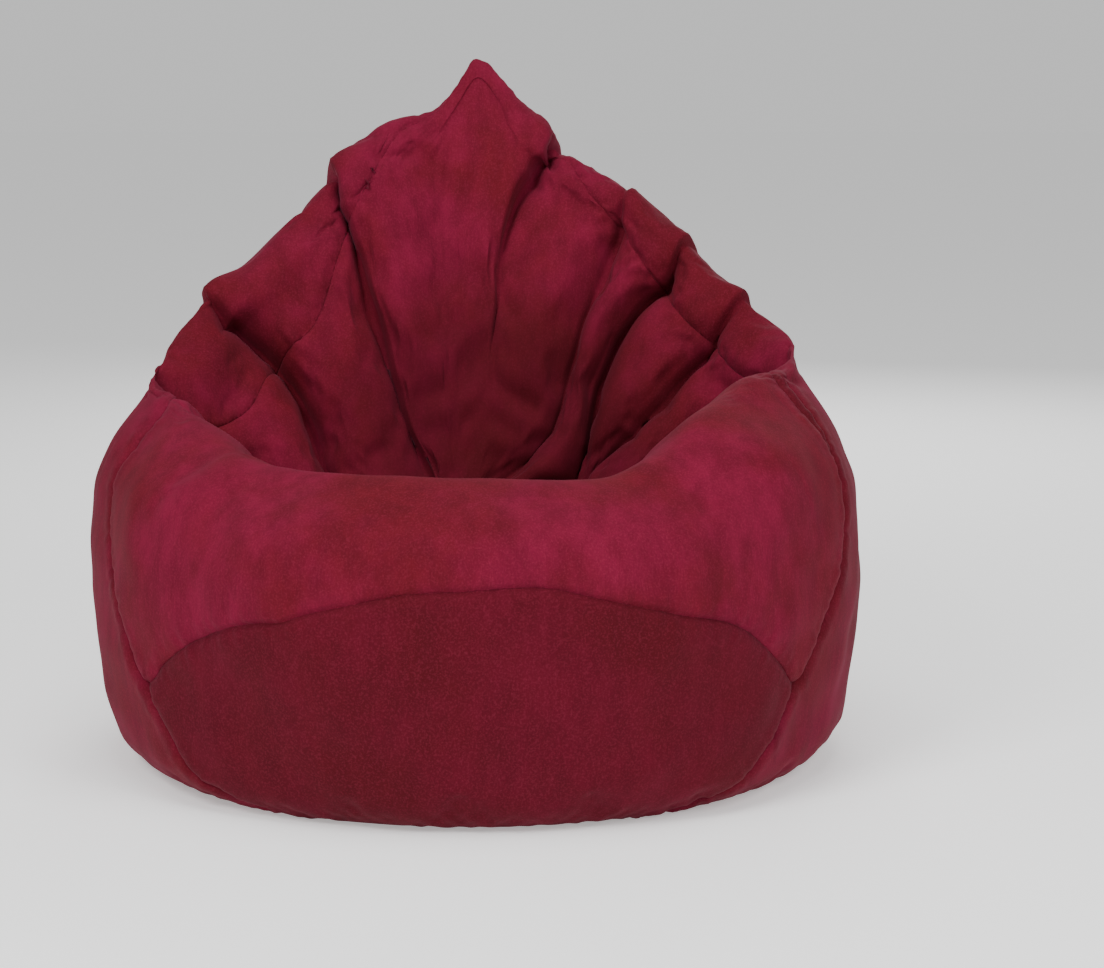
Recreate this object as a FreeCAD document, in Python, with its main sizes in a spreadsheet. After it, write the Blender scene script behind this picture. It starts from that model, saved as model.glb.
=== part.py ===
"""Bean bag chair: a leaf-backed lounge bag of faux suede round a bead-filled liner.

+Z is up, +X is to the sitter's left and +Y to the rear, so the sitter faces -Y. The origin
is under the middle of the bag's box, on the floor. Lengths are in millimetres.

The bag is three nested layers, each the same soft body at its own inset: the cover, cut
into the panels that are sewn together, the liner, cut the same way, and the bead fill.
A zip closes the back of the cover and a finer one the back of the liner under it, both
on arcs about one line across the bag, and a carry loop is sewn high on the back.
"""
import FreeCAD, Part
import math
import os

import Sketcher

doc = FreeCAD.newDocument("bean_bag_chair")
sheet = doc.addObject("Spreadsheet::Sheet", "Params")

# ---------------------------------------------------------------- driving dimensions, mm and degrees
DIMENSIONS = {
    "overall_width": 950.0,
    "overall_height": 850.0,
    # the bag's round flank: two arcs, below and above its widest height, then a straight nape
    "widest_height": 215.0,
    "lower_flank_radius": 338.0,
    "upper_flank_radius": 850.0,
    "upper_flank_span": 27.0,
    "nape_radius": 300.0,
    # the cone that narrows the bag to its peak
    "peak_depth": 300.0,
    "peak_height": 862.0,
    "peak_lean": 15.0,
    "peak_half_angle": 45.0,
    # the scoop over the front roll and the arms, and the face of the hood behind it
    "scoop_radius": 984.0,
    "scoop_depth": -400.0,
    "roll_height": 385.0,
    "hood_depth": 200.0,
    "hood_height": 589.0,
    "hood_lean": 13.4,
    # the round hollow that the sitter sinks into
    "hollow_radius": 330.0,
    "hollow_depth": -60.0,
    "hollow_height": 545.0,
    # insets of the nested surfaces from the outside of the bag
    "cover_out": 0.0,
    "cover_in": 1.8,
    "patch_out": 2.0,
    "patch_in": 3.2,
    "liner_out": 4.0,
    "liner_in": 4.6,
    "fill_out": 5.2,
    "strap_out": -3.0,
    # how the front and foot seams leave the tips of the side seams, and how far outside the
    # hollow the side seams run along the arms
    "front_seam_angle": 148.0,
    "foot_seam_angle": 245.0,
    "arm_seam_offset": 40.0,
    "base_rise": 6.0,
    "far": 3000.0,
    # the ends of the arc that both zips follow, up from the widest height
    "zip_low": -1.5,
    "zip_high": 25.5,
    # the carry loop
    "loop_height": 670.0,
    "loop_width": 30.0,
    "loop_thick": 3.0,
    "loop_half_span": 48.0,
    "loop_rise": 22.0,
    "loop_stand_off": 16.0,
    "loop_end_out": 98.0,
    "loop_end_in": 49.0,
}

# The side seams seen from the side, from the tip low on the flank to the crown of the hood:
# depth and height.
SIDE_SEAM = {
    "tip": (-220.0, 140.0),
    "arm": (-60.0, 400.0),
    "elbow": (120.0, 490.0),
    "wing": (270.0, 600.0),
    "crown": (284.0, 820.0),
}

# One zip each for cover and liner. Depths are measured inwards from the arc of the cover.
COVER_ZIP = {
    "margin": 0.0,         # how much sooner the chain ends than the arc, degrees
    "slot_half": 8.0,      # half the gap between the two panel edges
    "tape_half": 17.0,     # half the width over both tapes
    "tape_top": 5.5,
    "tape_thick": 0.7,
    "tape_over": 0.7,      # how far the tapes run past the chain, degrees
    "tooth_out": 4.2,      # the tooth's outer end, and the tape's edge
    "tooth_in": 0.75,      # half the gap that the slider's post runs in
    "tooth_top": 3.9,
    "tooth_foot": 7.9,
    "tooth_long": 2.2,
    "tooth_pitch": 3.7,
    "slider_half": 6.6,
    "slider_long": 17.0,
    "plate_thick": 1.4,
    "flange_thick": 1.0,
    "plate_clear": 0.4,
    "post_half": 0.4,
}
LINER_ZIP = {
    "margin": 2.0,
    "slot_half": 5.0,
    "tape_half": 12.0,
    "tape_top": 14.9,
    "tape_thick": 0.5,
    "tape_over": 0.5,
    "tooth_out": 2.9,
    "tooth_in": 0.6,
    "tooth_top": 14.0,
    "tooth_foot": 16.3,
    "tooth_long": 1.6,
    "tooth_pitch": 3.2,
    "slider_half": 4.6,
    "slider_long": 11.0,
    "plate_thick": 0.8,
    "flange_thick": 0.7,
    "plate_clear": 0.3,
    "post_half": 0.3,
}
CHANNEL = {"channel_half": 20.0, "channel_floor": 12.0, "fill_channel_floor": 19.5}
PULL = {
    # the arch on the slider, along the chain, that the pull hangs from
    "bail_half_long": 5.0,
    "bail_half_wide": 1.1,
    "bail_post": 1.1,
    "bail_rise": 3.2,
    "bail_bar": 0.9,
    # the pull: its cross bar lies under the arch, and its eye goes round the arch's post
    "pull_half": 3.6,
    "pull_neck": 2.8,
    "pull_long": 34.0,
    "pull_thick": 1.2,
    "pull_bar_half": 0.6,
    "pull_eye_half": 1.7,
    "pull_eye_long": 9.0,
}


# ---------------------------------------------------------------- the sheet
def fill_sheet():
    """Writes every driving number to the sheet, one aliased cell each."""
    cells = dict(DIMENSIONS, **CHANNEL, **PULL)
    for name, (seam_depth, seam_height) in SIDE_SEAM.items():
        cells["side_seam_%s_depth" % name] = seam_depth
        cells["side_seam_%s_height" % name] = seam_height
    for prefix, sizes in (("cover_zip", COVER_ZIP), ("liner_zip", LINER_ZIP)):
        cells.update({prefix + "_" + key: value for key, value in sizes.items()})
    for row, (alias, value) in enumerate(cells.items(), start=1):
        sheet.set("A%d" % row, alias)
        sheet.set("B%d" % row, repr(value))
        sheet.setAlias("B%d" % row, alias)
    doc.recompute()


def cell(alias):
    """The number in the cell with that alias."""
    return float(sheet.get(alias))


def worked_out(expression):
    """What an expression on the sheet comes to now."""
    value = sheet.evalExpression(expression)
    return float(getattr(value, "Value", value))


# ---------------------------------------------------------------- small makers
def combine(kind, label, first, *others):
    """A Part boolean of one object with others: Cut takes each other away in turn."""
    result = first
    for number, other in enumerate(others):
        step = doc.addObject("Part::" + kind, "%s_%s%d" % (label, kind.lower(), number))
        step.Base, step.Tool = result, other
        result = step
    result.Label = label
    return result


def primitive(kind, label, position, turn=(0, 0, 0), **sizes):
    """A Part primitive with its sizes and place bound to the sheet; turn is yaw, pitch, roll."""
    made = doc.addObject("Part::" + kind, label)
    made.Placement.Rotation = FreeCAD.Rotation(*turn)
    for name, expression in sizes.items():
        made.setExpression(name, expression)
    for axis, expression in zip("xyz", position):
        made.setExpression("Placement.Base." + axis, expression)
    return made


def flank_of_revolution(label, inset):
    """The bag's round flank and floor at an inset: a body turned about the upright axis."""
    body = new_body(label)
    side = "Params.overall_width / 2"
    low_centre = "(%s - Params.lower_flank_radius)" % side
    high_centre = "(%s - Params.upper_flank_radius)" % side
    low, high = "(Params.lower_flank_radius - %s)" % inset, "(Params.upper_flank_radius - %s)" % inset
    middle = "Params.widest_height"
    angle = "(1deg * Params.upper_flank_span)"
    top = "Params.overall_height - %s" % inset
    corners = [
        ("0", inset),
        ("%s + sqrt(%s ^ 2 - (%s - %s) ^ 2)" % (low_centre, low, middle, inset), inset),
        ("%s - %s" % (side, inset), middle),
        ("%s + %s * cos(%s)" % (high_centre, high, angle), "%s + %s * sin(%s)" % (middle, high, angle)),
        ("Params.nape_radius - %s" % inset, top),
        ("0", top),
    ]
    arcs = {1: (low_centre, middle), 2: (high_centre, middle)}
    turn = body.newObject("PartDesign::Revolution", label + "_turn")
    turn.Profile = sketch_on(body, "XZ_Plane", label + "_outline", corners, arcs=arcs)
    turn.ReferenceAxis = (turn.Profile[0], ["V_Axis"])
    turn.Angle = 360
    body.Tip = turn
    return body


def soft_body(label, inset_alias):
    """The whole bag with its hollow, at the inset in that cell."""
    inset = "Params." + inset_alias
    flank = flank_of_revolution(label + "_flank", inset)
    lean, half_angle = cell("peak_lean"), "(1deg * Params.peak_half_angle)"
    down_axis = "%s / sin(%s)" % (inset, half_angle)
    cone = primitive(
        "Cone", label + "_peak",
        ("0", "Params.peak_depth - %s * sin(1deg * Params.peak_lean)" % down_axis,
         "Params.peak_height - %s * cos(1deg * Params.peak_lean)" % down_axis),
        (0, 0, 180 - lean),
        Radius1="0", Radius2="Params.far / 2 * tan(%s)" % half_angle, Height="Params.far / 2")
    scoop = primitive(
        "Cylinder", label + "_scoop",
        ("-Params.far / 2", "Params.scoop_depth", "Params.roll_height + Params.scoop_radius"), (0, 90, 0),
        Radius="Params.scoop_radius + %s" % inset, Height="Params.far")
    front_of_hood = primitive(
        "Box", label + "_front_of_hood",
        ("-Params.far / 2",
         "Params.hood_depth - Params.far * cos(1deg * Params.hood_lean)"
         " + (Params.far / 2) * sin(-1deg * Params.hood_lean) + %s" % inset,
         "Params.hood_height + Params.far * sin(1deg * Params.hood_lean)"
         " - (Params.far / 2) * cos(1deg * Params.hood_lean)"),
        (0, 0, -cell("hood_lean")),
        Length="Params.far", Width="Params.far", Height="Params.far")
    hollow = primitive(
        "Sphere", label + "_hollow", ("0", "Params.hollow_depth", "Params.hollow_height"),
        Radius="Params.hollow_radius + %s" % inset)
    peaked = combine("Common", label + "_peaked", flank, cone)
    over_arms = combine("Common", label + "_over_arms", scoop, front_of_hood)
    return combine("Cut", label, peaked, over_arms, hollow)


def sketch_on(body, plane, name, points, offset=None, arcs=None):
    """A closed sketch on one of the body's own planes; points and arc centres are pairs of expressions.

    Arcs are keyed by the index of the corner that they start from, and turn anticlockwise.
    """
    sketch = body.newObject("Sketcher::SketchObject", name)
    role = [f for f in body.Origin.OriginFeatures if f.Role == plane][0]
    sketch.AttachmentSupport, sketch.MapMode = (role, ""), "FlatFace"
    if offset:
        for axis, expression in zip("xyz", offset):
            sketch.setExpression("AttachmentOffset.Base." + axis, expression)
    doc.recompute()
    arcs = arcs or {}
    at = [FreeCAD.Vector(worked_out(u), worked_out(v), 0) for u, v in points]
    for index, (here, there) in enumerate(zip(at, at[1:] + at[:1])):
        if index in arcs:
            centre = FreeCAD.Vector(*[worked_out(expression) for expression in arcs[index]], 0)
            angles = [math.atan2(end.y - centre.y, end.x - centre.x) for end in (here, there)]
            circle = Part.Circle(centre, FreeCAD.Vector(0, 0, 1), here.distanceToPoint(centre))
            sketch.addGeometry(Part.ArcOfCircle(circle, *angles), False)
        else:
            sketch.addGeometry(Part.LineSegment(here, there), False)
    count = len(at)
    for i in range(count):
        sketch.addConstraint(Sketcher.Constraint("Coincident", i, 2, (i + 1) % count, 1))
    for i, pair in enumerate(points):
        for kind, value, expression in (("DistanceX", at[i].x, pair[0]), ("DistanceY", at[i].y, pair[1])):
            index = sketch.addConstraint(Sketcher.Constraint(kind, -1, 1, i, 1, value))
            sketch.setExpression("Constraints[%d]" % index, expression)
    for i, (_, height) in arcs.items():
        index = sketch.addConstraint(Sketcher.Constraint("DistanceY", -1, 1, i, 3, worked_out(height)))
        sketch.setExpression("Constraints[%d]" % index, height)
    return sketch


def rectangle(left, right, low, high):
    """The four corners of a rectangle, as expression pairs."""
    return [(left, low), (right, low), (right, high), (left, high)]


def new_body(label):
    """An empty PartDesign body with that label."""
    body = doc.addObject("PartDesign::Body", label)
    body.Label = label
    return body


def band(body, name, left, right, inner, outer, low, high):
    """A bar bent round the zips' arc: across x from left to right, between two radii and two angles."""
    centre = ("0", "Params.overall_width / 2 - Params.upper_flank_radius", "Params.widest_height")
    sketch = sketch_on(body, "XY_Plane", name + "_sketch", rectangle(left, right, inner, outer), centre)
    turn = body.newObject("PartDesign::Revolution", name)
    turn.Profile = sketch
    turn.ReferenceAxis = (sketch, ["H_Axis"])
    turn.Type = "TwoAngles"
    turn.setExpression("Angle", high)
    turn.setExpression("Angle2", "-(%s)" % low)
    body.Tip = turn
    return turn


def band_body(label, *args):
    """A body that holds one bent bar."""
    body = new_body(label)
    band(body, label + "_band", *args)
    return body


def box(label, x, y, z):
    """A Part box between pairs of expressions along each axis."""
    made = doc.addObject("Part::Box", label)
    for axis, side, (low, high) in zip("xyz", ("Length", "Width", "Height"), (x, y, z)):
        made.setExpression(side, "(%s) - (%s)" % (high, low))
        made.setExpression("Placement.Base." + axis, low)
    return made


def depth(prefix, key):
    """The radius at a depth below the cover's arc that a zip size names."""
    return "Params.upper_flank_radius - Params.%s_%s" % (prefix, key)


# ---------------------------------------------------------------- the soft layers
def front_region(prefix):
    """All of space in front of the side seams and above the front seam."""
    body = new_body(prefix + "_front_region")
    far, front = "Params.far", "(1deg * Params.front_seam_angle)"
    corners = [("Params.side_seam_%s_depth" % name, "Params.side_seam_%s_height" % name) for name in SIDE_SEAM]
    corners.append(("Params.side_seam_crown_depth", far))
    corners.append(("-" + far, far))
    corners.append(("-" + far, "Params.side_seam_tip_height + (Params.side_seam_tip_depth + %s) * -tan(%s)" % (
        far, front)))
    pad = body.newObject("PartDesign::Pad", prefix + "_front_region_pad")
    pad.Profile = sketch_on(body, "YZ_Plane", prefix + "_front_region_outline", corners)
    pad.Midplane = True
    pad.setExpression("Length", far)
    body.Tip = pad
    around_hollow = primitive(
        "Sphere", prefix + "_around_hollow", ("0", "Params.hollow_depth", "Params.hollow_height"),
        Radius="Params.hollow_radius + Params.arm_seam_offset")
    return combine("Fuse", prefix + "_front_space", body, around_hollow)


def apron_region(prefix):
    """The wedge of space between the front seam and the foot seam."""
    body = new_body(prefix + "_apron_region")
    corners = [("Params.side_seam_tip_depth", "Params.side_seam_tip_height")]
    for reach, angle in (("1", "Params.front_seam_angle"),
                         ("1.4", "(Params.front_seam_angle + Params.foot_seam_angle) / 2"),
                         ("1", "Params.foot_seam_angle")):
        corners.append(tuple(
            "%s + Params.far / 2 * %s * %s(1deg * %s)" % (origin, reach, wave, angle)
            for origin, wave in zip(corners[0], ("cos", "sin"))))
    pad = body.newObject("PartDesign::Pad", prefix + "_apron_region_pad")
    pad.Profile = sketch_on(body, "YZ_Plane", prefix + "_apron_region_outline", corners)
    pad.Midplane = True
    pad.setExpression("Length", "Params.far")
    body.Tip = pad
    return body


def cut_panels(prefix, shell, zip_prefix):
    """Cuts a shell at its seams into the front, the apron, the base and the two rear halves."""
    half = "Params.%s_slot_half" % zip_prefix
    slot = band_body(
        prefix + "_slot", "-" + half, half,
        "Params.upper_flank_radius - 40", "Params.upper_flank_radius + 40",
        *span(zip_prefix))
    far = "Params.far"
    base_slab = box(prefix + "_base_slab", ("-" + far, far), ("-" + far, far), ("-100", "Params.base_rise"))
    left_half = box(prefix + "_left_half", ("-" + far, "0"), ("-" + far, far), ("Params.base_rise", far))
    right_half = box(prefix + "_right_half", ("0", far), ("-" + far, far), ("Params.base_rise", far))
    front, apron = front_region(prefix), apron_region(prefix)
    rest = combine("Cut", prefix + "_rest", shell, front)
    behind = combine("Cut", prefix + "_behind", rest, apron)
    open_behind = combine("Cut", prefix + "_open_behind", behind, slot)
    return [
        combine("Common", prefix + "_front_panel", shell, front),
        combine("Common", prefix + "_apron_panel", rest, apron),
        combine("Common", prefix + "_base_panel", behind, base_slab),
        combine("Common", prefix + "_rear_panel_left", open_behind, left_half),
        combine("Common", prefix + "_rear_panel_right", open_behind, right_half),
    ]


def make_cover(outside):
    """The five panels of the faux suede cover."""
    inside = soft_body("cover_inside", "cover_in")
    shell = combine("Cut", "cover_shell", outside, inside)
    return cut_panels("cover", shell, "cover_zip")


def recessed(label, inset_alias, floor, more):
    """The bag at an inset, with the trough that the zips lie in pressed into its back."""
    body = soft_body(label + "_whole", inset_alias)
    half = "Params.channel_half + %s" % more
    trough = band_body(
        label + "_trough", "-(%s)" % half, half,
        "Params.upper_flank_radius - (%s)" % floor, "Params.upper_flank_radius + 40",
        "Params.zip_low - 1.5 - %s / 10" % more, "Params.zip_high + 1.5 + %s / 10" % more)
    return combine("Cut", label, body, trough)


def make_liner_and_fill():
    """The liner's five panels, and the solid that stands for the beads inside them."""
    wall = "Params.liner_in - Params.liner_out"
    outer = recessed("liner_outside", "liner_out", "Params.channel_floor", "0")
    inner = recessed("liner_inside", "liner_in", "Params.channel_floor + " + wall, "0.6")
    shell = combine("Cut", "liner_shell", outer, inner)
    fill = recessed("bead_fill", "fill_out", "Params.fill_channel_floor", "1.6")
    return cut_panels("liner", shell, "liner_zip") + [fill]


# ---------------------------------------------------------------- the zips
SLIDER_REST = 0.45      # how far below its chain's end a closed slider sits, degrees


def zip_centre():
    """The point on the bag's middle plane that both zips are bent about."""
    side = cell("overall_width") / 2
    return FreeCAD.Vector(0, side - cell("upper_flank_radius"), cell("widest_height"))


def chain_angle(length):
    """The angle that a length along the chain takes up, as an expression."""
    return "(%s) / Params.upper_flank_radius * 180 / pi" % length


def span(prefix, low_extra="0", high_extra="0"):
    """A zip's two end angles, moved out by the extras."""
    stem = "Params.%s_margin" % prefix
    return ("Params.zip_low + %s - (%s)" % (stem, low_extra), "Params.zip_high - %s + (%s)" % (stem, high_extra))


def make_tapes(prefix, stem):
    """The two woven tapes that carry the teeth."""
    over = "Params.%s_tape_over" % prefix
    low, high = span(prefix, over, over)
    top = depth(prefix, "tape_top")
    foot = "%s - Params.%s_tape_thick" % (top, prefix)
    edge, wide = "Params.%s_tooth_out" % prefix, "Params.%s_tape_half" % prefix
    return [
        band_body(stem + "_tape_left", "-" + wide, "-" + edge, foot, top, low, high),
        band_body(stem + "_tape_right", edge, wide, foot, top, low, high),
    ]


def make_teeth(prefix, stem):
    """Both rows of teeth, each a polar pattern of one tooth; the right row sits half a pitch higher."""
    made = []
    radius = "(%s)" % depth(prefix, "tooth_top")
    pitch_angle = "Params.%s_tooth_pitch / %s * 180 / pi" % (prefix, radius)
    long_angle = "Params.%s_tooth_long / %s * 180 / pi" % (prefix, radius)
    low, high = span(prefix)
    arc = math.radians(
        cell("zip_high") - cell("zip_low") - 2 * cell(prefix + "_margin")
    ) * (cell("upper_flank_radius") - cell(prefix + "_tooth_top"))
    # The slider's length, its stop and the bottom stop are left clear of teeth.
    count = int((arc - 12.0) / cell(prefix + "_tooth_pitch"))
    for side, sign in (("left", -1), ("right", 1)):
        edges = ["Params.%s_tooth_in" % prefix, "Params.%s_tooth_out" % prefix]
        if sign < 0:
            edges = ["-" + e for e in reversed(edges)]
        body = new_body("%s_teeth_%s" % (stem, side))
        body.AllowCompound = True
        first = "%s + %s * %s + 0.35" % (low, pitch_angle, "0.5" if sign > 0 else "0")
        tooth = band(body, body.Label + "_tooth", edges[0], edges[1],
                     depth(prefix, "tooth_foot"), depth(prefix, "tooth_top"),
                     first, "%s + %s" % (first, long_angle))
        pattern = body.newObject("PartDesign::PolarPattern", body.Label + "_row")
        pattern.Originals = [tooth]
        pattern.Axis = (tooth.Profile[0], ["H_Axis"])
        pattern.Occurrences = count
        pattern.setExpression("Angle", "%s * %d" % (pitch_angle, count - 1))
        body.Tip = pattern
        made.append(body)
    return made


def make_slider(prefix, stem, bail):
    """The slider at the top of its chain: two plates joined by a thin post, with side flanges."""
    long_angle = chain_angle("Params.%s_slider_long" % prefix)
    _, high = span(prefix)
    top_end = "%s - %s" % (high, SLIDER_REST)
    low_end = "%s - %s" % (top_end, long_angle)
    clear, plate = "Params.%s_plate_clear" % prefix, "Params.%s_plate_thick" % prefix
    half, flange = "Params.%s_slider_half" % prefix, "Params.%s_flange_thick" % prefix
    upper = "%s + %s" % (depth(prefix, "tooth_top"), clear)
    lower = "%s - %s" % (depth(prefix, "tooth_foot"), clear)
    body = new_body(stem + "_slider")
    band(body, stem + "_upper_plate", "-" + half, half, upper, "%s + %s" % (upper, plate), low_end, top_end)
    post = "Params.%s_post_half" % prefix
    post_low = "%s - %s / 3" % (top_end, long_angle)
    band(body, stem + "_post", "-" + post, post, "%s - 0.1" % lower, "%s + 0.1" % upper, post_low, top_end)
    band(body, stem + "_lower_plate", "-" + half, half, "%s - %s" % (lower, plate), lower, low_end, top_end)
    tape_top = "%s + %s" % (depth(prefix, "tape_top"), clear)
    tape_foot = "%s - Params.%s_tape_thick - %s" % (depth(prefix, "tape_top"), prefix, clear)
    for side, (left, right) in (("left", ("-" + half, "-%s + %s" % (half, flange))),
                                ("right", ("%s - %s" % (half, flange), half))):
        band(body, "%s_upper_flange_%s" % (stem, side), left, right, tape_top, "%s + 0.1" % upper, low_end, top_end)
        band(body, "%s_lower_flange_%s" % (stem, side), left, right, "%s - 0.1" % lower, tape_foot, low_end, top_end)
    if bail:
        crown = "%s + %s" % (upper, plate)
        mid = "%s - %s / 2" % (top_end, long_angle)
        wide = "Params.bail_half_wide"
        reach, post = chain_angle("Params.bail_half_long + Params.bail_post"), chain_angle("Params.bail_half_long")
        ceiling = "%s + Params.bail_rise" % crown
        band(body, stem + "_bail_bar", "-" + wide, wide, "%s - Params.bail_bar" % ceiling, ceiling,
             "%s - %s" % (mid, reach), "%s + %s" % (mid, reach))
        for end, sign, (near, away) in (("low", "-", (reach, post)), ("high", "+", (post, reach))):
            band(body, "%s_bail_post_%s" % (stem, end), "-" + wide, wide, "%s - 0.1" % crown, ceiling,
                 "%s %s %s" % (mid, sign, near), "%s %s %s" % (mid, sign, away))
    return body


def make_stops(prefix, stem):
    """The bottom stop across both rows, and the pair of top stops."""
    half, inner = "Params.%s_tooth_out" % prefix, "Params.%s_tooth_in" % prefix
    foot, top = depth(prefix, "tooth_foot"), depth(prefix, "tooth_top")
    low, high = span(prefix)
    bottom = band_body(stem + "_bottom_stop", "-" + half, half, foot, top, low, "%s + 0.28" % low)
    tops = new_body(stem + "_top_stops")
    tops.AllowCompound = True
    for side, (left, right) in (("left", ("-" + half, "-" + inner)), ("right", (inner, half))):
        band(tops, "%s_top_stop_%s" % (stem, side), left, right, foot, top, "%s - 0.3" % high, high)
    return [bottom, tops]


def make_pull():
    """The pull tab, hanging down the chain from the slider's arch."""
    prefix = "cover_zip"
    half_long = math.degrees(cell(prefix + "_slider_long") / cell("upper_flank_radius")) / 2
    mid = math.radians(cell("zip_high") - cell(prefix + "_margin") - SLIDER_REST - half_long)
    window = cell("bail_rise") - cell("bail_bar")
    radius = (cell("upper_flank_radius") - cell(prefix + "_tooth_top") + cell(prefix + "_plate_clear")
              + cell(prefix + "_plate_thick") + window / 2)
    body = new_body("zip_pull")
    # The tab's outline in its own plane: across it, and away from the cross bar.
    half, neck, end = "Params.pull_half", "Params.pull_neck", "Params.pull_long"
    right = [
        (neck, "0"), (neck, "Params.pull_eye_long"), (half, "Params.pull_eye_long + 3"),
        (half, end + " - 3"), (half + " - 1.5", end),
    ]
    left = [("-(%s)" % u, v) for u, v in reversed(right)]
    pad = body.newObject("PartDesign::Pad", "zip_pull_pad")
    pad.Profile, pad.Midplane = sketch_on(body, "XY_Plane", "zip_pull_outline", right + left), True
    pad.setExpression("Length", "Params.pull_thick")
    body.Tip = pad
    doc.recompute()
    eye = body.newObject("PartDesign::Pocket", "zip_pull_eye")
    opening = rectangle("-Params.pull_eye_half", "Params.pull_eye_half",
                        "-1", "Params.pull_eye_long")
    eye.Profile = sketch_on(body, "XY_Plane", "zip_pull_eye_outline", opening)
    eye.Midplane, eye.Type = True, "ThroughAll"
    body.Tip = eye
    doc.recompute()
    bar = body.newObject("PartDesign::AdditiveCylinder", "zip_pull_cross_bar")
    bar.setExpression("Radius", "Params.pull_bar_half")
    bar.setExpression("Height", "2 * Params.pull_neck")
    bar.Placement = FreeCAD.Placement(
        FreeCAD.Vector(-cell("pull_neck"), 0, 0), FreeCAD.Rotation(FreeCAD.Vector(0, 1, 0), 90))
    body.Tip = bar
    doc.recompute()
    # The tab's length runs down the chain, and its face looks outwards.
    down = FreeCAD.Vector(0, math.sin(mid), -math.cos(mid))
    out = FreeCAD.Vector(0, math.cos(mid), math.sin(mid))
    place = zip_centre() + out * radius
    body.Placement = FreeCAD.Placement(place, FreeCAD.Rotation(down.cross(out), down, out, "ZXY"))
    print("zip pull hinge", place, "angle", math.degrees(mid))
    return body


# ---------------------------------------------------------------- the carry loop
def nape_lean():
    """How far the straight nape leans forward from upright, in radians."""
    span = math.radians(cell("upper_flank_span"))
    side, radius = cell("overall_width") / 2, cell("upper_flank_radius")
    run = side - radius + radius * math.cos(span) - cell("nape_radius")
    return math.atan2(run, cell("overall_height") - cell("widest_height") - radius * math.sin(span))


def loop_frame():
    """The unit vectors outwards from the nape and up along it."""
    lean = nape_lean()
    out = FreeCAD.Vector(0, math.cos(lean), math.sin(lean))
    along = FreeCAD.Vector(0, -math.sin(lean), math.cos(lean))
    return out, along


def make_loop(back_at_ends):
    """The strap between its sewn ends: a flat band bent to an arc that stands off the back."""
    out, along = loop_frame()
    half, rise = cell("loop_half_span"), cell("loop_rise")
    radius = (half * half + rise * rise) / (2 * rise)
    hinge = back_at_ends + out * cell("loop_stand_off")
    centre = hinge + out * (rise - radius)
    body = new_body("carry_loop")
    bow = "((Params.loop_half_span ^ 2 + Params.loop_rise ^ 2) / (2 * Params.loop_rise))"
    profile = rectangle(bow + " - Params.loop_thick", bow, "-Params.loop_width / 2", "Params.loop_width / 2")
    sketch = sketch_on(body, "XZ_Plane", "carry_loop_section", profile)
    turn = body.newObject("PartDesign::Revolution", "carry_loop_band")
    turn.Profile, turn.ReferenceAxis = sketch, (sketch, ["V_Axis"])
    turn.Midplane = True
    turn.setExpression("Angle", "2 * asin(Params.loop_half_span / %s)" % bow)
    body.Tip = turn
    doc.recompute()
    body.Placement = FreeCAD.Placement(centre, FreeCAD.Rotation(out, along.cross(out), along, "XZY"))
    return body, hinge


def make_loop_ends(outside, hinge):
    """The strap's two sewn ends: each lies on the back and turns up to meet the loop."""
    grown = soft_body("strap_skin", "strap_out")
    skin = combine("Cut", "strap_layer", grown, outside)
    out, along = loop_frame()
    low, high = "Params.loop_height - Params.loop_width / 2", "Params.loop_height + Params.loop_width / 2"
    made = []
    for side, sign in (("left", -1), ("right", 1)):
        inner, outer = "Params.loop_end_in", "Params.loop_end_out"
        x = (inner, outer) if sign > 0 else ("-" + outer, "-" + inner)
        window = box("loop_end_window_" + side, x, ("Params.nape_radius", "Params.overall_width / 2"), (low, high))
        flat = combine("Common", "loop_end_flat_" + side, skin, window)
        riser = doc.addObject("Part::Box", "loop_end_riser_" + side)
        riser.setExpression("Length", "Params.loop_thick")
        riser.setExpression("Width", "Params.loop_stand_off + 4")
        riser.setExpression("Height", "Params.loop_width * 0.85")
        start = hinge - out * (cell("loop_stand_off") + 2.5) - along * cell("loop_width") * 0.425
        start.x = cell("loop_end_in") if sign > 0 else -cell("loop_end_in") - cell("loop_thick")
        tilt = FreeCAD.Rotation(FreeCAD.Vector(1, 0, 0), math.degrees(nape_lean()))
        riser.Placement = FreeCAD.Placement(start, tilt)
        upright = combine("Cut", "loop_end_upright_" + side, riser, outside)
        made.append(combine("Fuse", "carry_loop_end_" + side, flat, upright))
    return made


def make_backing_patch():
    """The reinforcing patch inside the cover that the strap's stitches go through."""
    outer = soft_body("patch_outside", "patch_out")
    inner = soft_body("patch_inside", "patch_in")
    layer = combine("Cut", "patch_layer", outer, inner)
    window = box(
        "patch_window", ("-Params.loop_end_out - 8", "Params.loop_end_out + 8"),
        ("Params.nape_radius", "Params.overall_width / 2"),
        ("Params.loop_height - Params.loop_width", "Params.loop_height + Params.loop_width"))
    return combine("Common", "loop_backing_patch", layer, window)


# ---------------------------------------------------------------- putting it together
def back_surface(outside):
    """The point on the back of the bag, at the loop's height and its strap ends."""
    line = Part.makeLine(
        FreeCAD.Vector(cell("loop_end_in"), cell("nape_radius"), cell("loop_height")),
        FreeCAD.Vector(cell("loop_end_in"), cell("overall_width") / 2, cell("loop_height")))
    met = line.common(outside.Shape)
    return FreeCAD.Vector(0, met.BoundBox.YMax, cell("loop_height"))


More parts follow.
